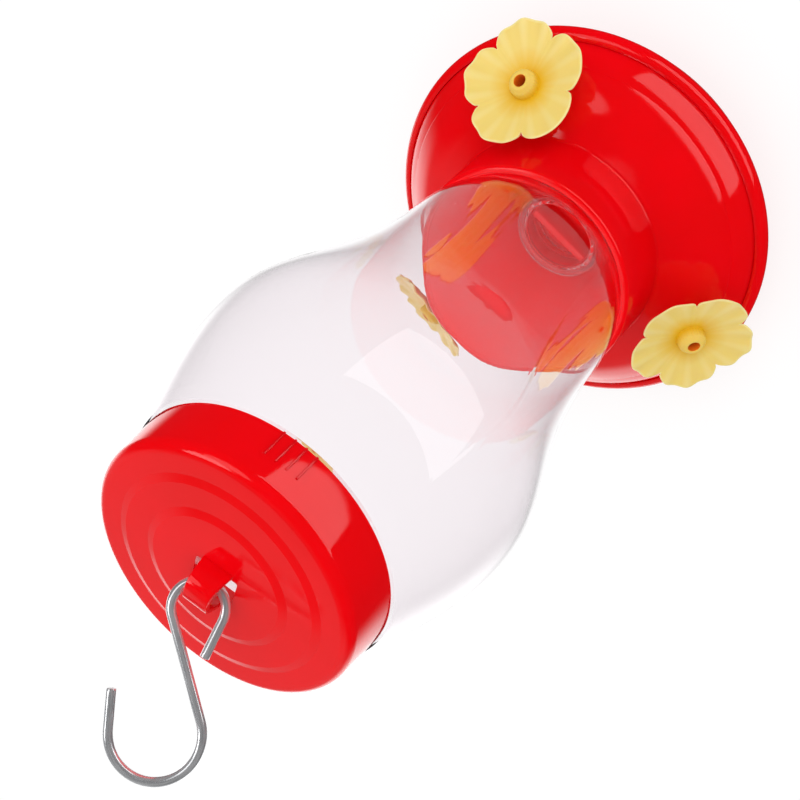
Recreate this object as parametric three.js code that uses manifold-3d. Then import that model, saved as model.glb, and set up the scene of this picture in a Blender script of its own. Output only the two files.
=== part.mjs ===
// A hanging bird drinker: a clear bottle stands neck down in a red base with
// three flower-shaped feeding ports, and hangs from an S-hook on its cap.
// Millimetres, +Z up, origin at the centre of the dish's flat foot, with
// flower_1 facing -Y. Run with the packages three and manifold-3d.

import * as THREE from "three";
import { mergeVertices } from "three/addons/utils/BufferGeometryUtils.js";
import Module from "manifold-3d";

const wasm = await Module();
wasm.setup();

// Lower dish
const DISH_RADIUS = 70; // over the rolled rim
const RIM_BEAD_RADIUS = 3.3; // half-round bead of the rolled rim
const RIM_BEAD_HEIGHT = 18; // middle of the bead above the foot
const RIM_SEAT_DEPTH = 4.1; // how deep the cover's edge sits in the rim
const DISH_FOOT_RADIUS = 54;
const DISH_WALL = 2.4;
const DISH_FLOOR = 2.6;
const MOUTH_GAP = 9.4; // way out for the water under the bottle's mouth
const BLADE_WIDTH = 3; // upright blade that stands in the bottle's neck
const BLADE_PROUD = 2.5; // above the top of the neck
const BLADE_CLEARANCE = 0.6; // inside the neck
const BLADE_TURN = 134;

// Bell cover
const COVER_WALL = 2.2;
const COVER_HEIGHT = 45.8; // from its seat in the rim to the collar's top
const RIM_CLEARANCE = 0.3; // cover's edge inside the rim
const SHOULDER_ROUND = 1; // over the edge
const SHOULDER_SLOPE = 50; // degrees
const SHOULDER_WIDTH = 5.6; // edge to the crease
const SHOULDER_RISE = 6.25; // crease above the rim's top
const CREASE_RISE = 0.4; // small step at the crease
const CREASE_BACK = 0.15;
const DOME_SLOPE = 46; // degrees, at the dome's foot
const DOME_PULL = 5.5; // how far each end's slope carries along the curve
const CREST_RADIUS = 47.5; // where the dome turns up to the collar
const CREST_RISE = 15.7; // above the rim's top
const CREST_SLOPE = 18; // degrees
const COLLAR_PULL = 10; // how far the collar's upright side carries down
const COLLAR_SIDE = 6.7; // upright side under the lip
const COLLAR_LIP = 2.6; // width of the lip round the bottle
const LIP_ROUND = 1.3;
const LIP_DEPTH = 7; // solid depth under the lip
const SOCKET_LENGTH = 14;

// Neck, thread and seal
const NECK_RADIUS = 14.3; // under the thread
const NECK_WALL = 1.6;
const NECK_LENGTH = 18.5;
const NECK_LEDGE = 2.5; // flat ring round the top of the neck
const THREAD_PITCH = 4;
const THREAD_TURNS = 1.5;
const THREAD_HEIGHT = 1.2;
const THREAD_ROOT = 2.2; // width at its root
const THREAD_CREST = 1; // width at its crest
const THREAD_START = 3.6; // first turn above the mouth
const THREAD_CLEARANCE = 0.6;
const THREAD_SINK = 0.4; // depth of its root inside the wall
const SEAL_THICKNESS = 2;
const SEAL_CLEARANCE = 0.3;

// Bottle
const BOTTLE_WALL = 1.2;
const FUNNEL_GAP = 0.6; // bottle's funnel inside the cover's funnel
const COLLAR_RADIUS = 35.9; // bottle where it leaves the collar
const WAIST_RADIUS = 39.6;
const WAIST_RISE = 17; // above the collar
const BELLY_RADIUS = 53.3;
const BELLY_RISE = 100.8; // above the collar
const BODY_HEIGHT = 147.5; // collar to the cap's edge
const FUNNEL_PULL = 4.5; // how far each end's direction carries along the outline
const WAIST_PULL_DOWN = 8;
const WAIST_PULL_UP = 45;
const BELLY_PULL_DOWN = 16;
const BELLY_PULL_UP = 15;
const EDGE_PULL = 14;
const EDGE_SLOPE = 23; // lean of the wall where it meets the cap
const EDGE_PROUD = 0.7; // bottle's edge outside the cap's edge
const EDGE_GAP = 0.3; // under the cap's edge
const CROWN_ROUND = 3; // top corner of the closed end
const SNAP_PROUD = 0.5; // bead that the cap snaps over
const SNAP_RISE = 5; // bead above the cap's edge
const SNAP_HALF = 1; // half the bead's width

// Hanging cap
const CAP_RADIUS = 39.9; // at its lower edge
const CAP_HEIGHT = 16.6;
const CAP_WALL = 1.8;
const CAP_DRAFT = 1.1; // radius lost between edge and top
const CAP_FILLET = 3.2;
const CAP_CLEARANCE = 0.3; // inside the skirt and under the top
const RIM_FLAT = 5.1; // flat between the fillet and the first terrace
const TERRACE_FLAT = 7.1; // flat on the first terrace
const TERRACE_BAND = 2.2; // width of each sloped step
const TERRACE_RISE = 0.7;
const GRIP_RIBS = 4; // in each of two groups
const GRIP_SPACING = 4.7; // degrees
const GRIP_TURN = -125; // degrees, middle of the first group
const GRIP_LENGTH = 8.4;
const GRIP_WIDTH = 0.6;
const GRIP_PROUD = 0.25;
const GRIP_SINK = 0.8;

// Strap eyelet and its slot
const EYELET_TURN = 150;
const EYELET_FOOT = 9; // width of the strap at its feet
const EYELET_TOP = 7.2; // width of the strap at its top
const EYELET_HEADROOM = 3.5; // inside the strap, above the hook's wire
const EYELET_THICK = 1.7;
const EYELET_SINK = 0.6; // feet let into the top
const ARCH_POWER = 2.7; // how square the strap's arch is; 2 is an oval
const SLOT_LENGTH = 12.6;
const SLOT_WIDTH = 8.2;

// S-hook
const WIRE_RADIUS = 1.25;
const HOOK_EYE_RADIUS = 6.75; // small bend, at the wire's middle
const HOOK_BEND_RADIUS = 11.6; // large bend
const HOOK_SPAN = 31.9; // between the bends' centres, along the hook
const HOOK_OFFSET = 4.1; // between the bends' centres, across the hook
const HOOK_LEG = 10.2; // straight end of the small bend
const HOOK_TIP = 10; // straight end of the large bend
const HOOK_TIP_FLARE = 22; // degrees that the tip stands open
const HOOK_SEAT = 1.3; // wire's middle above the cap, inside the eyelet
const HOOK_TILT = 10.6; // degrees
const HOOK_LEAN = 43.9; // degrees

// Flowers and their ports
const FLOWER_COUNT = 3;
const FLOWER_TURN = -90; // degrees, first flower
const FLOWER_TWIST = [10, 2, 0]; // degrees, each about its own axis
const PORT_PLACE = 0.664; // place along the dome, from its foot
const PORT_ELEVATION = 50; // degrees
const PORT_BOSS_RADIUS = 6.6;
const PORT_BOSS_RISE = 1.8;
const PORT_BOSS_SINK = 3.4;
const PORT_CLEARANCE = 0.3;
const STEM_RADIUS = 4;
const STEM_BORE = 2;
const PLUG_LENGTH = 9; // inside the cover
const FLANGE_PROUD = 1.6;
const FLANGE_THICK = 1.4;
const STEM_LENGTH = 3.9; // from the flange to the petals
const PETALS = 5;
const PETAL_RADIUS = 21.3; // to the petals' tips
const PETAL_NOTCH = 4.9; // depth of the notch between petals
const PETAL_THICK = 1.2;
const PETAL_CUP = 3.2; // rise of the tips above the hub
const PETAL_CROWN = 1; // rise of a petal's middle above its sides
const HUB_RADIUS = 5;
const HUB_HEIGHT = 4.6;
const HUB_TOP_RADIUS = 3.1;

// How finely round shapes are cut
const ROUND = 32;
const SMALL_ROUND = 20;
const WIRE_SIDES = 8;
const WIRE_STEPS = 52;
const CURVE_STEPS = 5;
const ARC_STEPS = 3;
const SEGMENTS_PER_PETAL = 6;
const THREAD_STEPS = 16; // per turn
const MERGE_DISTANCE = 1e-4;
const CUT_MARGIN = 4; // how far a cutter runs past what it cuts

// Heights, stacked from the foot
const rimRadius = DISH_RADIUS - RIM_BEAD_RADIUS;
const rimTop = RIM_BEAD_HEIGHT + RIM_BEAD_RADIUS;
const seatHeight = rimTop - RIM_SEAT_DEPTH;
const collarTop = seatHeight + COVER_HEIGHT;
const mouthHeight = DISH_FLOOR + MOUTH_GAP;
const ledgeTop = mouthHeight + NECK_LENGTH;
const sealSeat = ledgeTop - SEAL_THICKNESS;
const socketBottom = sealSeat - SOCKET_LENGTH;
const capEdge = collarTop + BODY_HEIGHT;
const capFace = capEdge + CAP_HEIGHT;
const capUnderside = capFace - CAP_WALL;
const capTop = capFace + 2 * TERRACE_RISE;
const crownTop = capUnderside - CAP_CLEARANCE;
const strapClear = HOOK_SEAT + WIRE_RADIUS + EYELET_HEADROOM;
const strapRise = strapClear + EYELET_THICK;

// Radii that pieces share
const ledgeRadius = NECK_RADIUS + NECK_LEDGE;
const threadCrest = NECK_RADIUS + THREAD_HEIGHT;
const socketBore = threadCrest + THREAD_CLEARANCE;
const pocketRadius = ledgeRadius + FUNNEL_GAP;
const collarMouth = COLLAR_RADIUS + FUNNEL_GAP;
const collarOuter = collarMouth + COLLAR_LIP;
const coverEdge = rimRadius - RIM_CLEARANCE;
const capTopRadius = CAP_RADIUS - CAP_DRAFT;
const crownRadius = capTopRadius - CAP_WALL - CAP_CLEARANCE;

const radians = THREE.MathUtils.degToRad;

function at(r, z) {
  return new THREE.Vector2(r, z);
}

// Points of a circular arc, both ends included
function arc(centreR, centreZ, radius, fromDegrees, toDegrees, steps = ARC_STEPS) {
  const points = [];
  for (let i = 0; i <= steps; i++) {
    const angle = radians(fromDegrees + ((toDegrees - fromDegrees) * i) / steps);
    points.push(at(centreR + radius * Math.cos(angle), centreZ + radius * Math.sin(angle)));
  }
  return points;
}

// Points moved to the left of the way they run, by the wall's thickness
function wallInside(points, wall) {
  const normals = points.slice(1).map((point, i) => {
    const along = point.clone().sub(points[i]).normalize();
    return at(-along.y, along.x);
  });
  return points.map((point, i) => {
    const before = normals[Math.max(i - 1, 0)];
    const after = normals[Math.min(i, normals.length - 1)];
    const reach = wall / (1 + before.dot(after));
    return before.clone().add(after).multiplyScalar(reach).add(point);
  });
}

// A closed mesh as a solid that can be joined and cut
function solidOf(geometry) {
  geometry.deleteAttribute("normal");
  geometry.deleteAttribute("uv");
  const merged = mergeVertices(geometry, MERGE_DISTANCE);
  const index = merged.index.array;
  const corners = [];
  for (let i = 0; i < index.length; i += 3) {
    const [a, b, c] = index.slice(i, i + 3);
    if (a !== b && b !== c && c !== a) {
      corners.push(a, b, c);
    }
  }
  const vertProperties = Float32Array.from(merged.attributes.position.array);
  const triVerts = Uint32Array.from(corners);
  return new wasm.Manifold(new wasm.Mesh({ numProp: 3, vertProperties, triVerts }));
}

function geometryOf(solid) {
  const mesh = solid.getMesh();
  const geometry = new THREE.BufferGeometry();
  geometry.setAttribute("position", new THREE.BufferAttribute(mesh.vertProperties, 3));
  geometry.setIndex(new THREE.BufferAttribute(mesh.triVerts, 1));
  geometry.computeVertexNormals();
  return geometry;
}

// A turned solid; the profile runs anticlockwise with radius across and height up
function turned(profile, segments = ROUND) {
  const geometry = new THREE.LatheGeometry(profile, segments);
  geometry.rotateX(Math.PI / 2);
  return solidOf(geometry);
}

function closed(profile) {
  return [...profile, profile[0]];
}

// A helical ridge; rootRadius is its foot and crestRadius its edge
function threadRidge(rootRadius, crestRadius, firstHeight) {
  const section = new THREE.Shape([
    at(-THREAD_ROOT / 2, rootRadius),
    at(-THREAD_CREST / 2, crestRadius),
    at(THREAD_CREST / 2, crestRadius),
    at(THREAD_ROOT / 2, rootRadius),
  ]);
  const steps = Math.round(THREAD_STEPS * THREAD_TURNS);
  const geometry = new THREE.ExtrudeGeometry(section, {
    depth: THREAD_TURNS,
    steps,
    bevelEnabled: false,
  });
  const position = geometry.attributes.position;
  for (let i = 0; i < position.count; i++) {
    const radius = position.getY(i);
    const turns = position.getZ(i);
    const angle = 2 * Math.PI * turns;
    const height = firstHeight + position.getX(i) + THREAD_PITCH * turns;
    position.setXYZ(i, radius * Math.cos(angle), radius * Math.sin(angle), height);
  }
  return solidOf(geometry);
}

function box(x, y, z, place) {
  return solidOf(new THREE.BoxGeometry(x, y, z).applyMatrix4(place));
}

function cylinder(radius, fromHeight, toHeight, place) {
  const geometry = new THREE.CylinderGeometry(radius, radius, toHeight - fromHeight, SMALL_ROUND);
  geometry.rotateX(Math.PI / 2);
  geometry.translate(0, 0, (fromHeight + toHeight) / 2);
  return solidOf(geometry.applyMatrix4(place));
}

function turnedAbout(degrees) {
  return new THREE.Matrix4().makeRotationZ(radians(degrees));
}

function lifted(height) {
  return new THREE.Matrix4().makeTranslation(0, 0, height);
}

// A point up the slope that leads towards the axis
function uphill(from, degrees, reach) {
  const slope = radians(degrees);
  return at(from.x - reach * Math.cos(slope), from.y + reach * Math.sin(slope));
}

// Outside of the cover: shoulder to the crease, dome to its crest, then the collar
const crease = at(coverEdge - SHOULDER_WIDTH, rimTop + SHOULDER_RISE);
const domeFoot = at(crease.x - CREASE_BACK, crease.y + CREASE_RISE);
const crest = at(CREST_RADIUS, rimTop + CREST_RISE);
const collarFoot = at(collarOuter, collarTop - LIP_ROUND - COLLAR_SIDE);
const domeCurve = new THREE.CubicBezierCurve(
  domeFoot,
  uphill(domeFoot, DOME_SLOPE, DOME_PULL),
  uphill(crest, CREST_SLOPE, -DOME_PULL),
  crest,
);
const collarCurve = new THREE.CubicBezierCurve(
  crest,
  uphill(crest, CREST_SLOPE, DOME_PULL),
  at(collarOuter, collarFoot.y - COLLAR_PULL),
  collarFoot,
);

// Frame of a feeding port: local +Z leaves the cover, local +X runs downhill
function portPlace(index) {
  const foot = domeCurve.getPoint(PORT_PLACE);
  const around = turnedAbout(FLOWER_TURN - (index * 360) / FLOWER_COUNT);
  const out = new THREE.Matrix4().makeTranslation(foot.x, 0, foot.y);
  const tilt = new THREE.Matrix4().makeRotationY(radians(90 - PORT_ELEVATION));
  return around.multiply(out).multiply(tilt);
}

function makeDish() {
  const beadBottom = RIM_BEAD_HEIGHT - RIM_BEAD_RADIUS;
  const innerRadius = rimRadius - DISH_WALL;
  const bowl = (reach, drop) => {
    const points = [];
    for (let i = 0; i <= CURVE_STEPS; i++) {
      const angle = (Math.PI / 2) * (i / CURVE_STEPS);
      points.push(
        at(DISH_FOOT_RADIUS + reach * Math.sin(angle), beadBottom - drop * Math.cos(angle)),
      );
    }
    return points;
  };
  const outside = bowl(rimRadius - DISH_FOOT_RADIUS, beadBottom);
  const inside = bowl(innerRadius - DISH_FOOT_RADIUS, beadBottom - DISH_FLOOR);
  const bead = arc(rimRadius, RIM_BEAD_HEIGHT, RIM_BEAD_RADIUS, -90, 90, 2 * ARC_STEPS);
  const shell = turned([
    at(0, 0),
    ...outside,
    ...bead.slice(1),
    at(rimRadius, seatHeight),
    at(innerRadius, seatHeight),
    ...inside.reverse(),
    at(0, DISH_FLOOR),
  ]);
  const reach = NECK_RADIUS - NECK_WALL - BLADE_CLEARANCE;
  const bladeLength = 2 * Math.sqrt(reach ** 2 - (BLADE_WIDTH / 2) ** 2);
  const bladeBottom = DISH_FLOOR / 2;
  const bladeTop = ledgeTop + BLADE_PROUD;
  const bladePlace = turnedAbout(BLADE_TURN).multiply(lifted((bladeBottom + bladeTop) / 2));
  return shell.add(box(bladeLength, BLADE_WIDTH, bladeTop - bladeBottom, bladePlace));
}

function makeCover() {
  const edge = at(coverEdge, seatHeight);
  const corner = at(coverEdge, crease.y - SHOULDER_WIDTH * Math.tan(radians(SHOULDER_SLOPE)));
  const bend = 90 - SHOULDER_SLOPE;
  const roundStart = corner.y - SHOULDER_ROUND * Math.tan(radians(bend / 2));
  const shoulder = arc(coverEdge - SHOULDER_ROUND, roundStart, SHOULDER_ROUND, 0, bend, 2);
  const flank = [
    crease,
    ...domeCurve.getPoints(CURVE_STEPS),
    ...collarCurve.getPoints(CURVE_STEPS).slice(1),
    at(collarOuter, collarTop - LIP_ROUND),
  ];
  const bell = [edge, ...shoulder, ...flank];
  const grooveTop = collarTop - LIP_DEPTH;
  const bellInside = wallInside([edge, corner, ...flank], COVER_WALL).filter((point) => {
    return point.y < grooveTop;
  });
  bellInside[0].y = seatHeight;
  const lastInside = bellInside[bellInside.length - 1];

  const funnelRise = collarTop - ledgeTop;
  const funnelReach = collarMouth - pocketRadius;
  const funnelRadius = (height) => {
    return pocketRadius + (funnelReach * (height - ledgeTop)) / funnelRise;
  };
  const wallAcross = COVER_WALL * Math.hypot(1, funnelReach / funnelRise);
  const socketOuter = socketBore + COVER_WALL;
  const socketBranch = sealSeat - COVER_WALL;
  const lipInner = at(collarMouth, collarTop - LIP_ROUND / 2);

  const shell = turned(closed([
    ...bell,
    ...arc(collarOuter - LIP_ROUND, collarTop - LIP_ROUND, LIP_ROUND, 30, 90, 2),
    at(collarMouth + LIP_ROUND / 2, collarTop),
    lipInner,
    at(pocketRadius, ledgeTop),
    at(pocketRadius, sealSeat),
    at(socketBore, sealSeat),
    at(socketBore, socketBottom),
    at(socketOuter, socketBottom),
    at(socketOuter, socketBranch),
    at(pocketRadius + COVER_WALL, socketBranch),
    at(pocketRadius + wallAcross, ledgeTop),
    at(funnelRadius(grooveTop) + wallAcross, grooveTop),
    at(lastInside.x, grooveTop),
    ...bellInside.reverse(),
  ]));

  const ridge = threadRidge(
    socketBore + THREAD_SINK,
    NECK_RADIUS + THREAD_CLEARANCE,
    mouthHeight + THREAD_START + THREAD_PITCH / 2,
  );
  let cover = shell.add(ridge);
  for (let i = 0; i < FLOWER_COUNT; i++) {
    const place = portPlace(i);
    cover = cover.add(cylinder(PORT_BOSS_RADIUS, -PORT_BOSS_SINK, PORT_BOSS_RISE, place));
  }
  for (let i = 0; i < FLOWER_COUNT; i++) {
    const hole = STEM_RADIUS + PORT_CLEARANCE;
    const deep = PORT_BOSS_SINK + CUT_MARGIN;
    cover = cover.subtract(cylinder(hole, -deep, PORT_BOSS_RISE + CUT_MARGIN, portPlace(i)));
  }
  return cover;
}

function makeSeal() {
  const inner = NECK_RADIUS + SEAL_CLEARANCE;
  const outer = pocketRadius - SEAL_CLEARANCE;
  return turned(closed([
    at(inner, sealSeat),
    at(outer, sealSeat),
    at(outer, ledgeTop),
    at(inner, ledgeTop),
  ]));
}

function bezier(from, fromPull, toPull, to) {
  return new THREE.CubicBezierCurve(from, fromPull, toPull, to).getPoints(CURVE_STEPS);
}

function makeBottle() {
  const leave = at(COLLAR_RADIUS, collarTop);
  const funnel = leave.clone().sub(at(ledgeRadius, ledgeTop)).normalize();
  const waist = at(WAIST_RADIUS, collarTop + WAIST_RISE);
  const belly = at(BELLY_RADIUS, collarTop + BELLY_RISE);
  const edge = at(CAP_RADIUS + EDGE_PROUD, capEdge - EDGE_GAP);
  const lean = radians(EDGE_SLOPE);
  const body = [
    ...bezier(
      leave,
      leave.clone().addScaledVector(funnel, FUNNEL_PULL),
      at(waist.x, waist.y - WAIST_PULL_DOWN),
      waist,
    ),
    ...bezier(
      waist,
      at(waist.x, waist.y + WAIST_PULL_UP),
      at(belly.x, belly.y - BELLY_PULL_DOWN),
      belly,
    ).slice(1),
    ...bezier(
      belly,
      at(belly.x, belly.y + BELLY_PULL_UP),
      at(edge.x + EDGE_PULL * Math.sin(lean), edge.y - EDGE_PULL * Math.cos(lean)),
      edge,
    ).slice(1),
  ];
  const bead = capEdge + SNAP_RISE;
  const outside = [
    at(NECK_RADIUS, mouthHeight),
    at(NECK_RADIUS, ledgeTop),
    at(ledgeRadius, ledgeTop),
    ...body,
    at(crownRadius, capEdge - EDGE_GAP),
    at(crownRadius, bead - SNAP_HALF),
    at(crownRadius + SNAP_PROUD, bead),
    at(crownRadius, bead + SNAP_HALF),
    ...arc(crownRadius - CROWN_ROUND, crownTop - CROWN_ROUND, CROWN_ROUND, 0, 90),
    at(0, crownTop),
  ];

  const bore = NECK_RADIUS - NECK_WALL;
  const bodyInside = wallInside(body, BOTTLE_WALL).slice(1, -1);
  const crownInside = crownRadius - BOTTLE_WALL;
  const crownInsideTop = crownTop - BOTTLE_WALL;
  const inside = [
    at(bore, mouthHeight),
    at(bore, ledgeTop + BOTTLE_WALL),
    at(ledgeRadius - BOTTLE_WALL / 2, ledgeTop + BOTTLE_WALL),
    ...bodyInside,
    at(crownInside, capEdge),
    ...arc(crownInside - CROWN_ROUND, crownInsideTop - CROWN_ROUND, CROWN_ROUND, 0, 90),
    at(0, crownInsideTop),
  ];
  const shell = turned([...inside.reverse(), ...outside]);
  return shell.add(
    threadRidge(NECK_RADIUS - THREAD_SINK, threadCrest, mouthHeight + THREAD_START),
  );
}

// Points over a squarish arch, from its right foot to its left foot
function arch(halfSpan, rise) {
  const steps = 2 * CURVE_STEPS;
  const points = [];
  for (let i = 0; i <= steps; i++) {
    const angle = (Math.PI * i) / steps;
    const across = Math.abs(Math.cos(angle)) ** (2 / ARCH_POWER) * Math.sign(Math.cos(angle));
    const height = Math.abs(Math.sin(angle)) ** (2 / ARCH_POWER);
    points.push(at(halfSpan * across, rise * height));
  }
  return points;
}

// Strap that bridges the slot: an arched band, narrower at its top
function makeStrap() {
  const inside = SLOT_WIDTH / 2;
  const outside = inside + EYELET_THICK;
  const strap = new THREE.Shape([
    at(outside, -EYELET_SINK),
    ...arch(outside, strapRise),
    at(-outside, -EYELET_SINK),
    at(-inside, -EYELET_SINK),
    ...arch(inside, strapClear).reverse(),
    at(inside, -EYELET_SINK),
  ]);
  const geometry = new THREE.ExtrudeGeometry(strap, { depth: 1, steps: 1, bevelEnabled: false });
  const position = geometry.attributes.position;
  for (let i = 0; i < position.count; i++) {
    const across = position.getX(i);
    const height = position.getY(i);
    const share = Math.max(height, 0) / strapRise;
    const width = THREE.MathUtils.lerp(EYELET_FOOT, EYELET_TOP, share);
    position.setXYZ(i, width * (position.getZ(i) - 0.5), across, height);
  }
  return geometry;
}

function makeCap() {
  const skirtTop = capFace - CAP_FILLET;
  const firstStep = capTopRadius - CAP_FILLET - RIM_FLAT;
  const secondStep = firstStep - TERRACE_BAND - TERRACE_FLAT;
  const innerTop = capTopRadius - CAP_WALL;
  const innerEdge = CAP_RADIUS - CAP_WALL;
  const shell = turned([
    at(0, capUnderside),
    at(innerTop, capUnderside),
    at(innerEdge, capEdge),
    at(CAP_RADIUS, capEdge),
    ...arc(capTopRadius - CAP_FILLET, skirtTop, CAP_FILLET, 0, 90),
    at(firstStep, capFace),
    at(firstStep - TERRACE_BAND, capFace + TERRACE_RISE),
    at(secondStep, capFace + TERRACE_RISE),
    at(secondStep - TERRACE_BAND, capTop),
    at(0, capTop),
  ]);
  const slotHeight = capTop - capUnderside + 2 * CUT_MARGIN;
  const slotMiddle = lifted((capTop + capUnderside) / 2);
  const turn = turnedAbout(EYELET_TURN);
  const slot = box(SLOT_LENGTH, SLOT_WIDTH, slotHeight, turn.clone().multiply(slotMiddle));
  const strap = solidOf(makeStrap().applyMatrix4(turn.clone().multiply(lifted(capTop))));
  let cap = shell.subtract(slot).add(strap);

  const draft = Math.atan2(CAP_DRAFT, CAP_HEIGHT - CAP_FILLET);
  for (const side of [0, 180]) {
    for (let i = 0; i < GRIP_RIBS; i++) {
      const turnOut = GRIP_TURN + side + GRIP_SPACING * (i - (GRIP_RIBS - 1) / 2);
      const depth = GRIP_PROUD + GRIP_SINK;
      const middle = new THREE.Matrix4()
        .makeTranslation(CAP_RADIUS, 0, capEdge)
        .multiply(new THREE.Matrix4().makeRotationY(-draft))
        .multiply(new THREE.Matrix4().makeTranslation(
          GRIP_PROUD - depth / 2, 0, GRIP_LENGTH / 2,
        ));
      cap = cap.add(box(depth, GRIP_WIDTH, GRIP_LENGTH, turnedAbout(turnOut).multiply(middle)));
    }
  }
  return cap;
}

// A path drawn flat, as a curve in space
class FlatPath extends THREE.Curve {
  constructor(outline) {
    super();
    this.outline = outline;
  }
  getPoint(t, target = new THREE.Vector3()) {
    const point = this.outline.getPoint(t);
    return target.set(point.x, point.y, 0);
  }
}

// The hook drawn flat, with the wire's place in the eyelet at its origin
function makeHook() {
  const eye = at(0, HOOK_EYE_RADIUS);
  const bend = at(HOOK_OFFSET, HOOK_EYE_RADIUS + HOOK_SPAN);
  const between = bend.clone().sub(eye);
  const cross = Math.asin((HOOK_EYE_RADIUS + HOOK_BEND_RADIUS) / between.length());
  const shank = Math.atan2(between.x, between.y) + cross;
  const leave = Math.PI - shank;
  const enter = -shank;
  const tip = Math.PI - radians(HOOK_TIP_FLARE);
  const outline = new THREE.Path();
  outline.moveTo(HOOK_EYE_RADIUS, HOOK_EYE_RADIUS + HOOK_LEG);
  outline.lineTo(HOOK_EYE_RADIUS, HOOK_EYE_RADIUS);
  outline.absarc(eye.x, eye.y, HOOK_EYE_RADIUS, 0, leave, true);
  outline.absarc(bend.x, bend.y, HOOK_BEND_RADIUS, enter, tip, false);
  const end = outline.currentPoint;
  outline.lineTo(end.x - HOOK_TIP * Math.sin(tip), end.y + HOOK_TIP * Math.cos(tip));
  const section = new THREE.Shape().absarc(0, 0, WIRE_RADIUS, 0, 2 * Math.PI, false);
  return solidOf(new THREE.ExtrudeGeometry(section, {
    extrudePath: new FlatPath(outline),
    steps: WIRE_STEPS,
    curveSegments: WIRE_SIDES / 2,
    bevelEnabled: false,
  }));
}

// A flower in its port's frame, turned round its own bore and pulled into petals
function makeFlower() {
  const flangeFoot = PORT_BOSS_RISE + PORT_CLEARANCE;
  const flangeTop = flangeFoot + FLANGE_THICK;
  const petalFoot = flangeTop + STEM_LENGTH;
  const petalTop = petalFoot + PETAL_THICK;
  const hubTop = petalTop + HUB_HEIGHT;
  const petalMiddle = (HUB_RADIUS + PETAL_RADIUS) / 2;
  const hubShoulder = (HUB_RADIUS + HUB_TOP_RADIUS) / 2;
  const profile = closed([
    at(STEM_BORE, -PLUG_LENGTH),
    at(STEM_RADIUS, -PLUG_LENGTH),
    at(STEM_RADIUS, flangeFoot),
    at(STEM_RADIUS + FLANGE_PROUD, flangeFoot),
    at(STEM_RADIUS + FLANGE_PROUD, flangeTop),
    at(STEM_RADIUS, flangeTop),
    at(STEM_RADIUS, petalFoot),
    at(petalMiddle, petalFoot),
    at(PETAL_RADIUS, petalFoot),
    at(PETAL_RADIUS, petalTop),
    at(petalMiddle, petalTop),
    at(HUB_RADIUS, petalTop),
    at((HUB_RADIUS + hubShoulder) / 2, (petalTop + 2 * hubTop) / 3),
    at(HUB_TOP_RADIUS, hubTop),
    at(STEM_BORE, hubTop),
  ]);
  const geometry = new THREE.LatheGeometry(profile, PETALS * SEGMENTS_PER_PETAL);
  geometry.rotateX(Math.PI / 2);
  const position = geometry.attributes.position;
  for (let i = 0; i < position.count; i++) {
    const [x, y, z] = [position.getX(i), position.getY(i), position.getZ(i)];
    const radius = Math.hypot(x, y);
    if (radius <= HUB_RADIUS + MERGE_DISTANCE || z < petalFoot - MERGE_DISTANCE) {
      continue;
    }
    const out = (radius - HUB_RADIUS) / (PETAL_RADIUS - HUB_RADIUS);
    const petal = Math.abs(Math.cos((PETALS / 2) * Math.atan2(y, x)));
    const reach = radius - PETAL_NOTCH * out * (1 - Math.sqrt(petal));
    const rise = out * (PETAL_CUP + PETAL_CROWN * petal);
    position.setXYZ(i, (x * reach) / radius, (y * reach) / radius, z + rise);
  }
  return solidOf(geometry);
}

// Finishes
const RED = { color: 0xe3060f, roughness: 0.22, metalness: 0 };
const YELLOW = { color: 0xf1d65c, roughness: 0.45, metalness: 0 };
const CLEAR = { color: 0xeeeaf2, roughness: 0.05, metalness: 0, transparent: true, opacity: 0.3 };
const SEAL = { color: 0xf2f0ec, roughness: 0.5, metalness: 0 };
const STEEL = { color: 0xb9bcc2, roughness: 0.25, metalness: 1 };

function piece(name, solid, finish) {
  const mesh = new THREE.Mesh(geometryOf(solid), new THREE.MeshStandardMaterial(finish));
  mesh.name = name;
  return mesh;
}

const drinker = new THREE.Group();
drinker.add(piece("base_dish", makeDish(), RED));
drinker.add(piece("base_cover", makeCover(), RED));
drinker.add(piece("neck_seal", makeSeal(), SEAL));
drinker.add(piece("bottle", makeBottle(), CLEAR));
drinker.add(piece("top_cap", makeCap(), RED));

const eyelet = new THREE.Group();
eyelet.position.z = capTop + HOOK_SEAT;
eyelet.rotation.z = radians(EYELET_TURN);
const hook = piece("s_hook", makeHook(), STEEL);
hook.rotation.set(radians(90 + HOOK_LEAN), radians(HOOK_TILT), 0, "YXZ");
eyelet.add(hook);
drinker.add(eyelet);

const flowerSolid = makeFlower();
for (let i = 0; i < FLOWER_COUNT; i++) {
  const port = new THREE.Group();
  port.applyMatrix4(portPlace(i));
  const flower = piece(`flower_${i + 1}`, flowerSolid, YELLOW);
  flower.rotation.z = radians(FLOWER_TWIST[i] ?? 0);
  port.add(flower);
  drinker.add(port);
}

export default drinker;
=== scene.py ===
"""Looks of a hanging bird drinker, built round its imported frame.

A clear bottle stands neck down in a red base with three yellow feeding
flowers, and hangs from a steel S-hook on its red cap. Metres, +Z up, with
the origin at the middle of the dish's foot.
"""

import math

import bmesh
import bpy
from bpy.props import FloatProperty, FloatVectorProperty, IntProperty, PointerProperty
from bpy.types import Operator, Panel, PropertyGroup
from mathutils import Euler, Matrix, Vector


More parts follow.
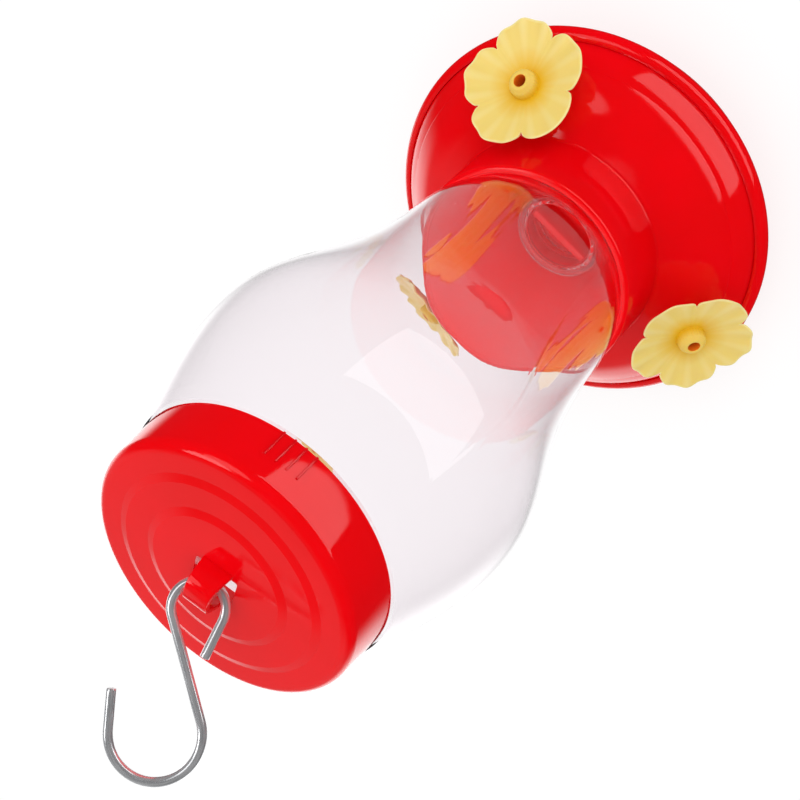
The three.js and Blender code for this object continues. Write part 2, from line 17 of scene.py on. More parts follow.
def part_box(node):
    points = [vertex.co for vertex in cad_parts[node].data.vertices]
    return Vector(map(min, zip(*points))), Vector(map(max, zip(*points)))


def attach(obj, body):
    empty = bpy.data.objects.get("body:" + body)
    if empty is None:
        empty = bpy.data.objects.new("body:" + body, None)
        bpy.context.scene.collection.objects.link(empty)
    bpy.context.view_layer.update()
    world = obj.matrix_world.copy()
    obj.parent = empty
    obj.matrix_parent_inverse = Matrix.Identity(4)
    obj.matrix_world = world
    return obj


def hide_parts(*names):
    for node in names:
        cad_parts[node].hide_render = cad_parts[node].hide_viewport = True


bl_info = {
    "name": "Hanging Bird Drinker",
    "version": (1, 0, 0),
    "blender": (4, 5, 0),
    "location": "3D View > Sidebar > Drinker",
    "description": "Builds the pieces, finishes and stage of a hanging bird drinker",
    "category": "Object",
}

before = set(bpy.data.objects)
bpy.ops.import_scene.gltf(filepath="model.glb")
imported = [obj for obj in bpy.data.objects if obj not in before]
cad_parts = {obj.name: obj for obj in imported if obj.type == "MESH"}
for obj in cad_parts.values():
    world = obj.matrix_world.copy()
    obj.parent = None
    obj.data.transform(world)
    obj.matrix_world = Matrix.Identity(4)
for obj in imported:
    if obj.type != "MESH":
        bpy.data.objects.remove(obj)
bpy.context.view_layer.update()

MM = 0.001
SEAM = 2e-6  # metres within which loose corners are one
SHARP = math.radians(34)
PATH_RADIUS = 0.2  # radius of the circle that outlines are turned along
ROUND_SIDES = 160
SMALL_SIDES = 64
THREAD_CLEARANCE = 0.6 * MM
THREAD_SINK = 0.4 * MM
THREAD_ROOT, THREAD_CREST = 2.2 * MM, 1 * MM  # widths of the ridge
FLOWERS = (  # node, body and twist in degrees
    ("flower_1", "front_flower", 10.0),
    ("flower_2", "left_flower", 2.0),
    ("flower_3", "right_flower", 0.0),
)


# Property makers

def length(name, description, millimetres):
    return FloatProperty(
        name=name, description=description, default=millimetres * MM, unit="LENGTH", precision=5,
    )


def turn(name, description, degrees):
    return FloatProperty(
        name=name, description=description, default=math.radians(degrees), unit="ROTATION",
    )


def number(name, description, default):
    return FloatProperty(name=name, description=description, default=default)


def share(name, description, default):
    return FloatProperty(
        name=name, description=description, default=default, min=0.0, max=1.0, subtype="FACTOR",
    )


def count(name, description, default):
    return IntProperty(name=name, description=description, default=default, min=1)


def colour(name, description, red, green, blue):
    return FloatVectorProperty(
        name=name, description=description, default=(red, green, blue), min=0.0, max=1.0,
        subtype="COLOR",
    )


# Sizes and colours that a user would change

class DishSizes(PropertyGroup):
    """Lower dish that holds the water"""

    radius: length("Radius", "Over the rolled rim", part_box("base_dish")[1].x / MM)
    bead: length("Rim bead", "Radius of the half-round rim", 3.3)
    bead_height: length("Bead height", "Middle of the bead above the foot", 18.0)
    seat_depth: length("Seat depth", "How deep the cover sits in the rim", 4.1)
    foot: length("Foot", "Radius of the flat foot", 54.0)
    wall: length("Wall", "Thickness of the bowl", 2.4)
    floor: length("Floor", "Thickness of the floor", 2.6)
    blade_width: length("Blade width", "Upright blade in the bottle's neck", 3.0)
    blade_proud: length("Blade height", "Blade above the top of the neck", 2.5)
    blade_clearance: length("Blade clearance", "Gap between blade and neck", 0.6)
    blade_turn: turn("Blade turn", "Direction that the blade runs in", 134.0)


class CoverSizes(PropertyGroup):
    """Bell cover with the collar, funnel and screw socket"""

    wall: length("Wall", "Thickness of the shell", 2.2)
    edge: length("Edge", "Radius of the edge in the rim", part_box("base_cover")[1].x / MM)
    top: length("Collar top", "Height of the collar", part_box("base_cover")[1].z / MM)
    shoulder_round: length("Shoulder round", "Round over the edge", 0.8)
    edge_drop: length("Edge drop", "Corner of the edge below the rim's top", 0.42)
    shoulder_slope: turn("Shoulder slope", "Slope at the edge", 68.0)
    shoulder_ease: turn("Shoulder ease", "Slope where the shoulder ends", 40.0)
    shoulder_width: length("Shoulder width", "Edge to the crease", 5.47)
    shoulder_rise: length("Shoulder rise", "Crease above the rim", 6.23)
    crease_rise: length("Crease rise", "Small step at the crease", 0.42)
    crease_back: length("Crease back", "Run of that step", 0.28)
    dome_slope: turn("Dome slope", "Slope at the foot of the dome", 46.0)
    dome_pull: length("Dome pull", "How far each end's slope carries", 5.5)
    crest: length("Crest", "Radius where the dome turns up to the collar", 47.5)
    crest_rise: length("Crest rise", "Crest above the rim", 15.7)
    crest_slope: turn("Crest slope", "Slope at the crest", 18.0)
    collar_foot: length("Collar foot", "Foot of the collar above the rim", 18.1)
    collar_draft: length("Collar draft", "Radius lost between the collar's foot and top", 0.5)
    collar_round: length("Collar round", "Hollow at the collar's foot", 1.2)
    lip: length("Lip", "Width of the lip round the bottle", 2.6)
    lip_round: length("Lip round", "Outer round of the lip", 1.3)
    lip_depth: length("Lip depth", "Solid depth under the lip", 7.0)
    socket: length("Socket", "Length of the screw socket", 14.0)
    boss: length("Port boss", "Radius of the ring round a port", 6.6)
    boss_rise: length("Boss rise", "Height of that ring", 1.8)
    boss_sink: length("Boss sink", "Depth of that ring in the wall", 3.4)
    port_place: share("Port place", "Place along the dome from its foot", 0.664)
    port_lift: turn("Port lift", "Angle of a port above level", 50.0)
    clearance: length("Clearance", "Gap round a plug in its port", 0.3)


class BottleSizes(PropertyGroup):
    """Clear bottle with its neck and thread"""

    mouth: length("Mouth", "Height of the neck's mouth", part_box("bottle")[0].z / MM)
    crown: length("Crown", "Height of the closed end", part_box("bottle")[1].z / MM)
    belly: length("Belly", "Largest radius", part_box("bottle")[1].x / MM)
    wall: length("Wall", "Thickness of the body", 1.2)
    neck: length("Neck", "Radius under the thread", 14.3)
    neck_wall: length("Neck wall", "Thickness of the neck", 1.6)
    neck_length: length("Neck length", "Mouth to the ledge", 18.5)
    ledge: length("Ledge", "Flat ring round the top of the neck", 2.5)
    collar: length("Collar", "Radius where it leaves the cover", 35.9)
    waist: length("Waist", "Radius of the waist", 39.6)
    waist_rise: length("Waist rise", "Waist above the collar", 17.0)
    belly_rise: length("Belly rise", "Belly above the collar", 100.8)
    edge_slope: turn("Edge slope", "Lean of the wall at the cap", 23.0)
    crown_round: length("Crown round", "Corner of the closed end", 3.0)
    thread_pitch: length("Thread pitch", "Rise in one turn", 4.0)
    thread_turns: number("Thread turns", "Turns of the thread", 1.5)
    thread_height: length("Thread height", "Ridge above the neck", 1.2)
    thread_start: length("Thread start", "First turn above the mouth", 3.6)
    seal: length("Seal", "Thickness of the ring under the ledge", 2.0)
    gap: length("Funnel gap", "Bottle inside the cover's funnel", 0.6)


class CapSizes(PropertyGroup):
    """Hanging cap with two terraces, a strap eyelet and grip ribs"""

    radius: length("Radius", "At the lower edge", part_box("top_cap")[1].x / MM)
    edge: length("Edge", "Height of the lower edge", 210.5)
    height: length("Height", "Edge to the rim of the top", 16.6)
    wall: length("Wall", "Thickness of skirt and top", 1.8)
    draft: length("Draft", "Radius lost between edge and top", 1.1)
    fillet: length("Fillet", "Round between skirt and top", 3.2)
    rim_flat: length("Rim flat", "Flat outside the first terrace", 5.1)
    terrace_flat: length("Terrace flat", "Flat on the first terrace", 7.1)
    terrace_band: length("Terrace band", "Width of each sloped step", 2.2)
    terrace_rise: length("Terrace rise", "Height of each step", 0.7)
    grip_ribs: count("Grip ribs", "Ribs in each of two groups", 4)
    grip_spacing: turn("Grip spacing", "Angle between ribs", 4.7)
    grip_turn: turn("Grip turn", "Middle of the first group", -125.0)
    grip_length: length("Grip length", "Length of a rib", 8.4)
    grip_width: length("Grip width", "Width of a rib", 0.6)
    grip_proud: length("Grip height", "Rib above the skirt", 0.25)
    strap_turn: turn("Strap turn", "Direction across the strap", 150.0)
    strap_foot: length("Strap foot", "Width of the strap at its feet", 9.0)
    strap_top: length("Strap top", "Width of the strap at its top", 7.2)
    strap_clear: length("Strap clear", "Height inside the strap", 6.05)
    strap_thick: length("Strap thickness", "Thickness of the strap", 1.7)
    arch_power: number("Arch power", "How square the arch is; 2 is an oval", 2.7)
    slot_length: length("Slot length", "Slot under the strap", 12.6)
    slot_width: length("Slot width", "Slot under the strap", 8.2)


class HookSizes(PropertyGroup):
    """S-hook bent from round wire"""

    wire: length("Wire", "Radius of the wire", 1.25)
    eye: length("Small bend", "Radius of the small bend", 6.75)
    bend: length("Large bend", "Radius of the large bend", 11.6)
    span: length("Span", "Between the bends along the hook", 31.9)
    offset: length("Offset", "Between the bends across the hook", 4.1)
    leg: length("Leg", "Straight end of the small bend", 10.2)
    tip: length("Tip", "Straight end of the large bend", 10.0)
    flare: turn("Tip flare", "How far the tip stands open", 22.0)
    seat: length("Seat", "Wire's middle above the cap", 1.3)
    tilt: turn("Tilt", "Tilt of the hook in the eyelet", 10.6)
    lean: turn("Lean", "Lean of the hook from upright", 43.9)


class FlowerSizes(PropertyGroup):
    """Plug-in feeding flower"""

    first_turn: turn("First flower", "Direction of the first flower", -90.0)
    stem: length("Stem", "Radius of stem and plug", 4.0)
    bore: length("Bore", "Radius of the feeding hole", 2.0)
    plug: length("Plug", "Length inside the cover", 9.0)
    flange_proud: length("Flange", "Flange outside the stem", 1.6)
    flange_thick: length("Flange thickness", "Flange on the boss", 1.4)
    stem_length: length("Stem length", "Flange to the petals", 3.9)
    petals: count("Petals", "Petals of a flower", 5)
    radius: length("Petal radius", "To the petals' tips", 21.3)
    notch: length("Notch", "Depth between petals", 4.9)
    thick: length("Petal thickness", "Thickness near the hub", 1.2)
    cup: length("Cup", "Rise of the tips above the hub", 3.2)
    crown: length("Crown", "Rise of a petal's middle", 1.0)
    flute: length("Flute", "Height of the soft flutes", 0.4)
    hub: length("Hub", "Radius of the hub at its foot", 5.0)
    hub_top: length("Hub top", "Radius of the hub at its top", 3.1)
    hub_height: length("Hub height", "Hub above the petals", 4.6)


class Finishes(PropertyGroup):
    """Colours of the finishes"""

    red: colour("Red", "Glossy moulded red", 0.87, 0.001, 0.005)
    deep_red: colour("Deep red", "Darker swirl in the red", 0.80, 0.001, 0.003)
    clear: colour("Clear", "Faint tint of the blown bottle, seen square on", 0.98, 0.952, 0.967)
    clear_edge: colour("Clear edge", "Tint of a wall seen along its face", 0.93, 0.895, 0.915)
    yellow: colour("Yellow", "Petals", 0.87, 0.66, 0.17)
    # painted highlight colour for the petals' ridges and edges
    highlight_yellow: colour("Pale yellow", "Ridges and edges of the petals", 0.93, 0.82, 0.40)
    # painted shade colour for the crease round the hub's foot
    hub_shade_yellow: colour("Deep yellow", "Round the hub", 0.84, 0.50, 0.012)
    # painted glow of red light inside the feeding hole
    hole_glow_amber: colour("Amber", "Inside the feeding hole", 0.85, 0.20, 0.01)
    rubber: colour("Rubber", "Seal under the neck", 0.95, 0.90, 0.90)
    steel: colour("Steel", "Zinc-plated wire", 0.88, 0.89, 0.91)
    dark_steel: colour("Dark steel", "Streaks along the wire", 0.26, 0.27, 0.29)


class StageSettings(PropertyGroup):
    """Floor, light and camera"""

    floor_radius: length("Floor radius", "Radius of the round floor", 2600.0)
    fill: number("Fill", "Strength of the even light from all round", 0.86)
    key: number("Key", "Brightness of the large lamp", 3.0)
    glow: number("Glow", "Light that the red walls let into the dish", 0.8)
    funnel: number("Funnel", "Light that the clear bottle lets into the funnel", 0.45)
    room: number("Room", "Brightness of the room in reflections", 0.35)
    backdrop: number("Backdrop", "Brightness of the backdrop's foot in reflections", 1.3)
    card: number("Card", "Brightness of the card on the viewer's side", 2.0)
    softbox: number("Softbox", "Brightness of the softbox high at one side", 3.2)
    side: number("Side light", "Brightness of the light at the left in reflections", 1.4)
    lens: number("Lens", "Focal length in millimetres", 56.83)


class DrinkerSettings(PropertyGroup):
    """Everything that can be set"""

    dish: PointerProperty(type=DishSizes, name="Dish", description="Sizes of the dish")
    cover: PointerProperty(type=CoverSizes, name="Cover", description="Sizes of the cover")
    bottle: PointerProperty(type=BottleSizes, name="Bottle", description="Sizes of the bottle")
    cap: PointerProperty(type=CapSizes, name="Cap", description="Sizes of the cap")
    hook: PointerProperty(type=HookSizes, name="Hook", description="Sizes of the hook")
    flower: PointerProperty(type=FlowerSizes, name="Flower", description="Sizes of a flower")
    finish: PointerProperty(type=Finishes, name="Finishes", description="Colours")
    stage: PointerProperty(type=StageSettings, name="Stage", description="Floor and light")


def settings():
    return bpy.context.scene.drinker


# Node trees

def add_node(tree, kind, **choices):
    made = tree.nodes.new(kind)
    for key, value in choices.items():
        setattr(made, key, value)
    return made


def fill(tree, node, values):
    """Fills a node's inputs with plain values or with other nodes' outputs."""
    for key, value in values.items():
        if hasattr(value, "is_output"):
            tree.links.new(value, node.inputs[key])
        else:
            node.inputs[key].default_value = value
    return node


def put(tree, kind, values, output=0, **choices):
    """Adds a node with its inputs filled and gives back one of its outputs."""
    return fill(tree, add_node(tree, kind, **choices), values).outputs[output]


def arithmetic(tree, operation, *values):
    """A Math node's output; each value is a number or an output."""
    return put(tree, "ShaderNodeMath", dict(enumerate(values)), operation=operation)


def ramp(tree, source, low, high, to_low, to_high, way="LINEAR"):
    """A value carried from one span to another, held at its ends."""
    return put(
        tree, "ShaderNodeMapRange",
        {"Value": source, "From Min": low, "From Max": high, "To Min": to_low, "To Max": to_high},
        "Result", clamp=True, interpolation_type=way,
    )


def sockets(tree, inputs, outputs):
    """Names a tree's inputs and outputs; gives back what is put in and the end node."""
    for in_out, pairs in (("INPUT", inputs), ("OUTPUT", outputs)):
        for name, kind in pairs:
            tree.interface.new_socket(name, in_out=in_out, socket_type="NodeSocket" + kind)
    given = add_node(tree, "NodeGroupInput").outputs
    return given, add_node(tree, "NodeGroupOutput", is_active_output=True)


def shape_tree(name, inputs):
    """A geometry tree that takes a shape and ends with a merged, finished mesh."""
    tree = bpy.data.node_groups.new(name, "GeometryNodeTree")
    given, result = sockets(
        tree,
        [("Shape", "Geometry"), ("Finish", "Material"), ("Merge", "Float"), *inputs],
        [("Shape", "Geometry")],
    )
    end = add_node(tree, "GeometryNodeRealizeInstances")
    merged = put(
        tree, "GeometryNodeMergeByDistance",
        {"Geometry": end.outputs[0], "Distance": given["Merge"]},
    )
    painted = put(
        tree, "GeometryNodeSetMaterial", {"Geometry": merged, "Material": given["Finish"]},
    )
    fill(tree, result, {"Shape": painted})
    return tree, given, end


def swept(tree, given, path, capped):
    """The given outline, swept along a path and kept upright."""
    outline = put(tree, "GeometryNodeMeshToCurve", {"Mesh": given["Shape"]})
    upright = put(tree, "GeometryNodeSetCurveNormal", {"Curve": path}, mode="Z_UP")
    return put(
        tree, "GeometryNodeCurveToMesh",
        {"Curve": upright, "Profile Curve": outline, "Fill Caps": capped},
    )


def turned_wall_tree():
    """Turns an outline round the Z axis: X is radius less the path's, Y is height."""
    tree, given, end = shape_tree("turned_wall", [("Sides", "Int"), ("Path radius", "Float")])
    path = put(
        tree, "GeometryNodeCurvePrimitiveCircle",
        {"Resolution": given["Sides"], "Radius": given["Path radius"]},
    )
    fill(tree, end, {0: swept(tree, given, path, False)})
    return tree


def screw_ridge_tree():
    """Sweeps a ridge's section along a screw line."""
    tree, given, end = shape_tree(
        "screw_ridge",
        [("Turns", "Float"), ("Pitch", "Float"), ("Radius", "Float"), ("Steps", "Int")],
    )
    path = put(tree, "GeometryNodeCurveSpiral", {
        "Resolution": given["Steps"], "Rotations": given["Turns"],
        "Start Radius": given["Radius"], "End Radius": given["Radius"],
        "Height": arithmetic(tree, "MULTIPLY", given["Turns"], given["Pitch"]),
    })
    fill(tree, end, {0: swept(tree, given, path, True)})
    return tree


def bent_wire_tree():
    """Sweeps a round section along a path and keeps where each point lies on it."""
    tree, given, end = shape_tree("bent_wire", [("Radius", "Float"), ("Sides", "Int")])

    def keep(shape, name, value, kind):
        return put(
            tree, "GeometryNodeStoreNamedAttribute",
            {"Geometry": shape, "Name": name, "Value": value}, data_type=kind, domain="POINT",
        )

    path = put(tree, "GeometryNodeMeshToCurve", {"Mesh": given["Shape"]})
    section = put(
        tree, "GeometryNodeCurvePrimitiveCircle",
        {"Resolution": given["Sides"], "Radius": given["Radius"]},
    )
    along = put(tree, "GeometryNodeSplineParameter", {}, "Length")
    place = put(tree, "GeometryNodeInputPosition", {})
    wire = put(tree, "GeometryNodeCurveToMesh", {
        "Curve": keep(path, "wire_along", along, "FLOAT"),
        "Profile Curve": keep(section, "wire_round", place, "FLOAT_VECTOR"),
        "Fill Caps": True,
    })
    fill(tree, end, {0: wire})
    return tree


def copies_round_tree():
    """Sets copies of a shape round the Z axis."""
    tree, given, end = shape_tree(
        "copies_round", [("Count", "Int"), ("Spacing", "Float"), ("Start", "Float")],
    )
    index = put(tree, "GeometryNodeInputIndex", {})
    angle = arithmetic(tree, "MULTIPLY_ADD", index, given["Spacing"], given["Start"])
    copies = put(tree, "GeometryNodeInstanceOnPoints", {
        "Points": put(tree, "GeometryNodePoints", {"Count": given["Count"]}),
        "Instance": given["Shape"],
        "Rotation": put(tree, "ShaderNodeCombineXYZ", {"Z": angle}),
    })
    fill(tree, end, {0: copies})
    return tree


TREES = {
    "turned_wall": turned_wall_tree,
    "screw_ridge": screw_ridge_tree,
    "bent_wire": bent_wire_tree,
    "copies_round": copies_round_tree,
}


def plain_mesh(holder, name):
    """The evaluated mesh of an object, with the object taken away."""
    bpy.context.view_layer.update()
    depsgraph = bpy.context.evaluated_depsgraph_get()
    mesh = bpy.data.meshes.new_from_object(
        holder.evaluated_get(depsgraph), preserve_all_data_layers=True, depsgraph=depsgraph,
    )
    mesh.name = name
    bpy.data.objects.remove(holder)
    return mesh


def held(name, mesh):
    holder = bpy.data.objects.new(name, mesh)
    bpy.context.scene.collection.objects.link(holder)
    return holder


def grow(tree_name, name, mesh, finish, **inputs):
    """Runs a node tree on a mesh and gives back a plain mesh."""
    tree = bpy.data.node_groups.get(tree_name) or TREES[tree_name]()
    holder = held(name, mesh)
    modifier = holder.modifiers.new(tree_name, "NODES")
    modifier.node_group = tree
    given = {key.replace("_", " ").capitalize(): value for key, value in inputs.items()}
    given.setdefault("Merge", SEAM)
    given["Finish"] = finish
    for item in tree.interface.items_tree:
        if item.item_type == "SOCKET" and item.in_out == "INPUT" and item.name in given:
            modifier[item.identifier] = given[item.name]
    return plain_mesh(holder, name)


def combine(operation, name, mesh, *others):
    """Joins meshes to a mesh, or cuts them out of it."""
    holder = held(name, mesh)
    tools = [held("tool", other) for other in others]
    for tool in tools:
        step = holder.modifiers.new("combine", "BOOLEAN")
        step.operation = operation
        step.solver = "EXACT"
        step.object = tool
    result = plain_mesh(holder, name)
    for tool in tools:
        bpy.data.objects.remove(tool)
    return result


def bevelled(name, mesh, width, segments, angle):
    holder = held(name, mesh)
    step = holder.modifiers.new("edges", "BEVEL")
    step.width = width
    step.segments = segments
    step.limit_method = "ANGLE"
    step.angle_limit = angle
    return plain_mesh(holder, name)


def settle(mesh, sharp=SHARP):
    """Closes seams, turns faces outwards and shades smooth between sharp edges."""
    work = bmesh.new()
    work.from_mesh(mesh)
    bmesh.ops.remove_doubles(work, verts=work.verts, dist=SEAM)
    bmesh.ops.dissolve_degenerate(work, edges=work.edges, dist=SEAM)
    bmesh.ops.recalc_face_normals(work, faces=work.faces)
    work.to_mesh(mesh)
    work.free()
    mesh.shade_smooth()
    mesh.set_sharp_from_angle(angle=sharp)
    return mesh


def finished_piece(name, mesh, material, body, slot, *nodes):
    """Puts a finished mesh in the scene as a piece of the object."""
    if not mesh.polygons:
        raise RuntimeError(f"{name} has no faces")
    mesh.materials.clear()
    mesh.materials.append(material)
    piece = held(name, mesh)
    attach(piece, body)
    if nodes:
        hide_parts(*nodes)
    return piece


# Outlines, with radius across and height up

def arc(radius_at, height_at, radius, start, end, steps):
    """Points of a round, from one angle to another in degrees."""
    points = []
    for i in range(steps + 1):
        angle = math.radians(start + (end - start) * i / steps)
        points.append((
            radius_at + radius * math.cos(angle), height_at + radius * math.sin(angle),
        ))
    return points


def bezier(a, b, c, d, steps):
    points = []
    for i in range(steps + 1):
        t = i / steps
        weights = ((1 - t) ** 3, 3 * t * (1 - t) ** 2, 3 * t * t * (1 - t), t ** 3)
        points.append(tuple(
            sum(w * p[k] for w, p in zip(weights, (a, b, c, d))) for k in (0, 1)
        ))
    return points


def softened(corners, steps=4):
    """An outline whose corners (radius, height, round) are rounded off."""
    points = []
    for i, corner in enumerate(corners):
        at = Vector(corner[:2])
        if len(corner) < 3 or i in (0, len(corners) - 1):
            points.append(tuple(at))
            continue
        before = Vector(corners[i - 1][:2]) - at
        after = Vector(corners[i + 1][:2]) - at
        half = before.angle(after) / 2
        back = corner[2] / math.tan(half)
        first = at + before.normalized() * back
        last = at + after.normalized() * back
        middle = at + (before.normalized() + after.normalized()).normalized() * (
            corner[2] / math.sin(half)
        )
        from_middle, to_middle = first - middle, last - middle
        sweep = from_middle.angle_signed(to_middle)
        for k in range(steps + 1):
            spin = Matrix.Rotation(-sweep * k / steps, 2)
            points.append(tuple(middle + spin @ from_middle))
    return points


def offset(points, distance):
    """Points moved to the left of the way they run."""
    normals = []
    for a, b in zip(points, points[1:]):
        along = (Vector(b) - Vector(a)).normalized()
        normals.append(Vector((-along.y, along.x)))
    moved = []
    for i, point in enumerate(points):
        before = normals[max(i - 1, 0)]
        after = normals[min(i, len(normals) - 1)]
        reach = distance / (1 + before.dot(after))
        moved.append(tuple(Vector(point) + (before + after) * reach))
    return moved


def path_mesh(name, points, closed=False):
    """A flat mesh of points that edges join in order."""
    total = len(points)
    edges = [(i, (i + 1) % total) for i in range(total if closed else total - 1)]
    mesh = bpy.data.meshes.new(name)
    mesh.from_pydata([(x, y, 0.0) for x, y in points], edges, [])
    return mesh


def turned(name, outline, finish, closed, sides):
    """A mesh turned from an outline."""
    mesh = path_mesh(name, [(r - PATH_RADIUS, -z) for r, z in outline], closed)
    return grow("turned_wall", name, mesh, finish, sides=sides, path_radius=PATH_RADIUS)


def drum(name, radius, low, high, finish, sides=48):
    return turned(name, [(0, low), (radius, low), (radius, high), (0, high)], finish, False, sides)


def worked_mesh(name, work):
    """A mesh of what was worked out in a bmesh."""
    mesh = bpy.data.meshes.new(name)
    work.to_mesh(mesh)
    work.free()
    return mesh


def box_mesh(name, size, bevel):
    """A box with bevelled edges."""
    work = bmesh.new()
    bmesh.ops.create_cube(work, size=1.0)
    bmesh.ops.scale(work, vec=size, verts=work.verts)
    return bevelled(name, worked_mesh(name, work), bevel, 3, math.radians(30))


def screw_ridge(name, root, crest, first_height, finish):
    """A ridge wound round the neck or inside the socket."""
    size = settings().bottle
    middle = (root + crest) / 2
    section = [
        (root - middle, -THREAD_ROOT / 2), (crest - middle, -THREAD_CREST / 2),
        (crest - middle, THREAD_CREST / 2), (root - middle, THREAD_ROOT / 2),
    ]
    ridge = grow(
        "screw_ridge", name, path_mesh(name, section, True), finish, turns=size.thread_turns,
        pitch=size.thread_pitch, radius=middle, steps=SMALL_SIDES,
    )
    ridge.transform(Matrix.Translation((0, 0, first_height)))
    return settle(ridge)


# Finishes

PARTING_TURN = -162.0  # degrees, the bottle's mould parting line
SPECK_LEVEL = 0.72  # share of the cells that stay without a mark


def shader_group(name, inputs, outputs):
    group = bpy.data.node_groups.new(name, "ShaderNodeTree")
    return group, *sockets(group, inputs, outputs)


def moulded_skin_group():
    """Slow swirl and fine grain that moulded pieces share."""
    group, given, result = shader_group(
        "moulded_skin",
        [("Swirl size", "Float"), ("Grain size", "Float")],
        [("Swirl", "Float"), ("Grain", "Float")],
    )
    place = put(group, "ShaderNodeTexCoord", {}, "Object")
    for size, output, detail in (("Swirl size", "Swirl", 3.0), ("Grain size", "Grain", 2.0)):
        per_metre = arithmetic(group, "DIVIDE", 1.0, given[size])
        noise = {"Vector": place, "Scale": per_metre, "Detail": detail}
        fill(group, result, {output: put(group, "ShaderNodeTexNoise", noise)})
    return group


def fine_specks_group():
    """Sparse small marks, 1 on a mark and 0 elsewhere."""
    group, given, result = shader_group(
        "fine_specks", [("Spacing", "Float"), ("Size", "Float")], [("Mark", "Float")],
    )
    cells = fill(group, add_node(group, "ShaderNodeTexVoronoi", feature="F1"), {
        "Vector": put(group, "ShaderNodeTexCoord", {}, "Object"),
        "Scale": arithmetic(group, "DIVIDE", 1.0, given["Spacing"]),
    }).outputs
    pick = put(group, "ShaderNodeSeparateColor", {0: cells["Color"]})
    near = arithmetic(group, "LESS_THAN", cells["Distance"], given["Size"])
    some = arithmetic(group, "GREATER_THAN", pick, SPECK_LEVEL)
    fill(group, result, {"Mark": arithmetic(group, "MULTIPLY", near, some)})
    return group


GROUPS = {"moulded_skin": moulded_skin_group, "fine_specks": fine_specks_group}


def place_group(tree, name, **values):
    """The outputs of a shared group, placed with its own values."""
    group = bpy.data.node_groups.get(name) or GROUPS[name]()
    placed = add_node(tree, "ShaderNodeGroup", node_tree=group)
    given = {key.replace("_", " ").capitalize(): value for key, value in values.items()}
    return fill(tree, placed, given).outputs


def blend_colours(tree, factor, *colours):
    """A colour between two, each a plain colour or an output."""
    first, second = (
        given if hasattr(given, "is_output") else (*given, 1.0) for given in colours
    )
    return put(tree, "ShaderNodeMix", {0: factor, 6: first, 7: second}, 2, data_type="RGBA")


def bump(tree, height, strength, distance):
    """A normal that follows a height."""
    return put(
        tree, "ShaderNodeBump", {"Strength": strength, "Distance": distance, "Height": height},
    )


def named_values(tree, name, output="Fac"):
    """Values that a mesh keeps under a name."""
    return put(tree, "ShaderNodeAttribute", {}, output, attribute_name=name)


# What each finish gives to its material's shader

def red_gloss(tree, finish):
    """Glossy moulded red: slow swirl in the colour, faint ripple and a few fine marks."""
    skin = place_group(tree, "moulded_skin", swirl_size=0.035, grain_size=0.0011)
    mark = place_group(tree, "fine_specks", spacing=0.0085, size=0.022)["Mark"]
    swirl = ramp(tree, skin["Swirl"], 0.35, 0.65, 0.0, 1.0)
    gloss = ramp(tree, skin["Swirl"], 0.3, 0.7, 0.05, 0.10)
    relief = arithmetic(tree, "MULTIPLY_ADD", mark, 0.9, skin["Grain"])
    return {
        "Base Color": blend_colours(tree, swirl, finish.red, finish.deep_red),
        "Roughness": arithmetic(tree, "MULTIPLY_ADD", mark, 0.25, gloss),
        "Normal": bump(tree, relief, 0.05, 0.00004),
        "IOR": 1.46,
        "Subsurface Weight": 0.6,
        "Subsurface Radius": (1.0, 0.1, 0.1),
        "Subsurface Scale": 0.003,
    }


def clear_blown(tree, finish):
    """Clear blown plastic with slow waves, its parting line and a few dust marks."""
    skin = place_group(tree, "moulded_skin", swirl_size=0.03, grain_size=0.006)
    mark = place_group(tree, "fine_specks", spacing=0.011, size=0.02)["Mark"]
    facing = put(tree, "ShaderNodeLayerWeight", {}, "Facing")
    across = put(tree, "ShaderNodeMapping", {
        "Vector": put(tree, "ShaderNodeTexCoord", {}, "Object"),
        "Rotation": (0.0, 0.0, math.radians(-PARTING_TURN)),
    })
    beside = arithmetic(tree, "ABSOLUTE", put(tree, "ShaderNodeSeparateXYZ", {0: across}, "Y"))
    line = ramp(tree, beside, 0.0002, 0.0011, 1.0, 0.0)
    waves = ramp(tree, skin["Swirl"], 0.0, 1.0, 0.0, 0.25)
    relief = arithmetic(tree, "MULTIPLY_ADD", line, 0.4, waves)
    return {
        "Base Color": blend_colours(tree, facing, finish.clear, finish.clear_edge),
        "Roughness": ramp(tree, mark, 0.0, 1.0, 0.0, 0.35),
        "Normal": bump(tree, relief, 0.5, 0.0002),
        "Transmission Weight": 1.0,
        "IOR": 1.42,
    }


def petal_yellow(tree, finish):
    """Satin yellow; painted shade by the hub, painted highlights on ridges and edges, painted glow
    in the hole.
    """
    skin = place_group(tree, "moulded_skin", swirl_size=0.012, grain_size=0.0005)
    out, ridge = named_values(tree, "petal_share"), named_values(tree, "petal_ridge")
    # hub masks the painted shade round the hub's foot
    hub = ramp(tree, out, 0.04, 0.48, 0.0, 1.0)
    # edge and crest mask the painted highlight along the petals' edges and on their ridges
    edge = ramp(tree, out, 0.94, 0.99, 0.0, 0.8)
    crest = ramp(tree, ridge, 0.0, 1.0, 0.0, 0.35)
    # hole masks the painted glow inside the feeding hole
    hole = ramp(tree, out, -0.5, -0.1, 0.0, 1.0)
    # pale is where the painted highlight goes
    pale = arithmetic(tree, "MAXIMUM", edge, crest)
    base = blend_colours(tree, hub, finish.hub_shade_yellow, finish.yellow)
    base = blend_colours(tree, hole, finish.hole_glow_amber, base)
    return {
        "Base Color": blend_colours(tree, pale, base, finish.highlight_yellow),
        "Roughness": ramp(tree, skin["Swirl"], 0.3, 0.7, 0.34, 0.46),
        "Normal": bump(tree, skin["Grain"], 0.12, 0.00004),
        "Subsurface Weight": 0.25,
        "Subsurface Radius": (1.0, 0.7, 0.15),
        "Subsurface Scale": 0.0012,
    }


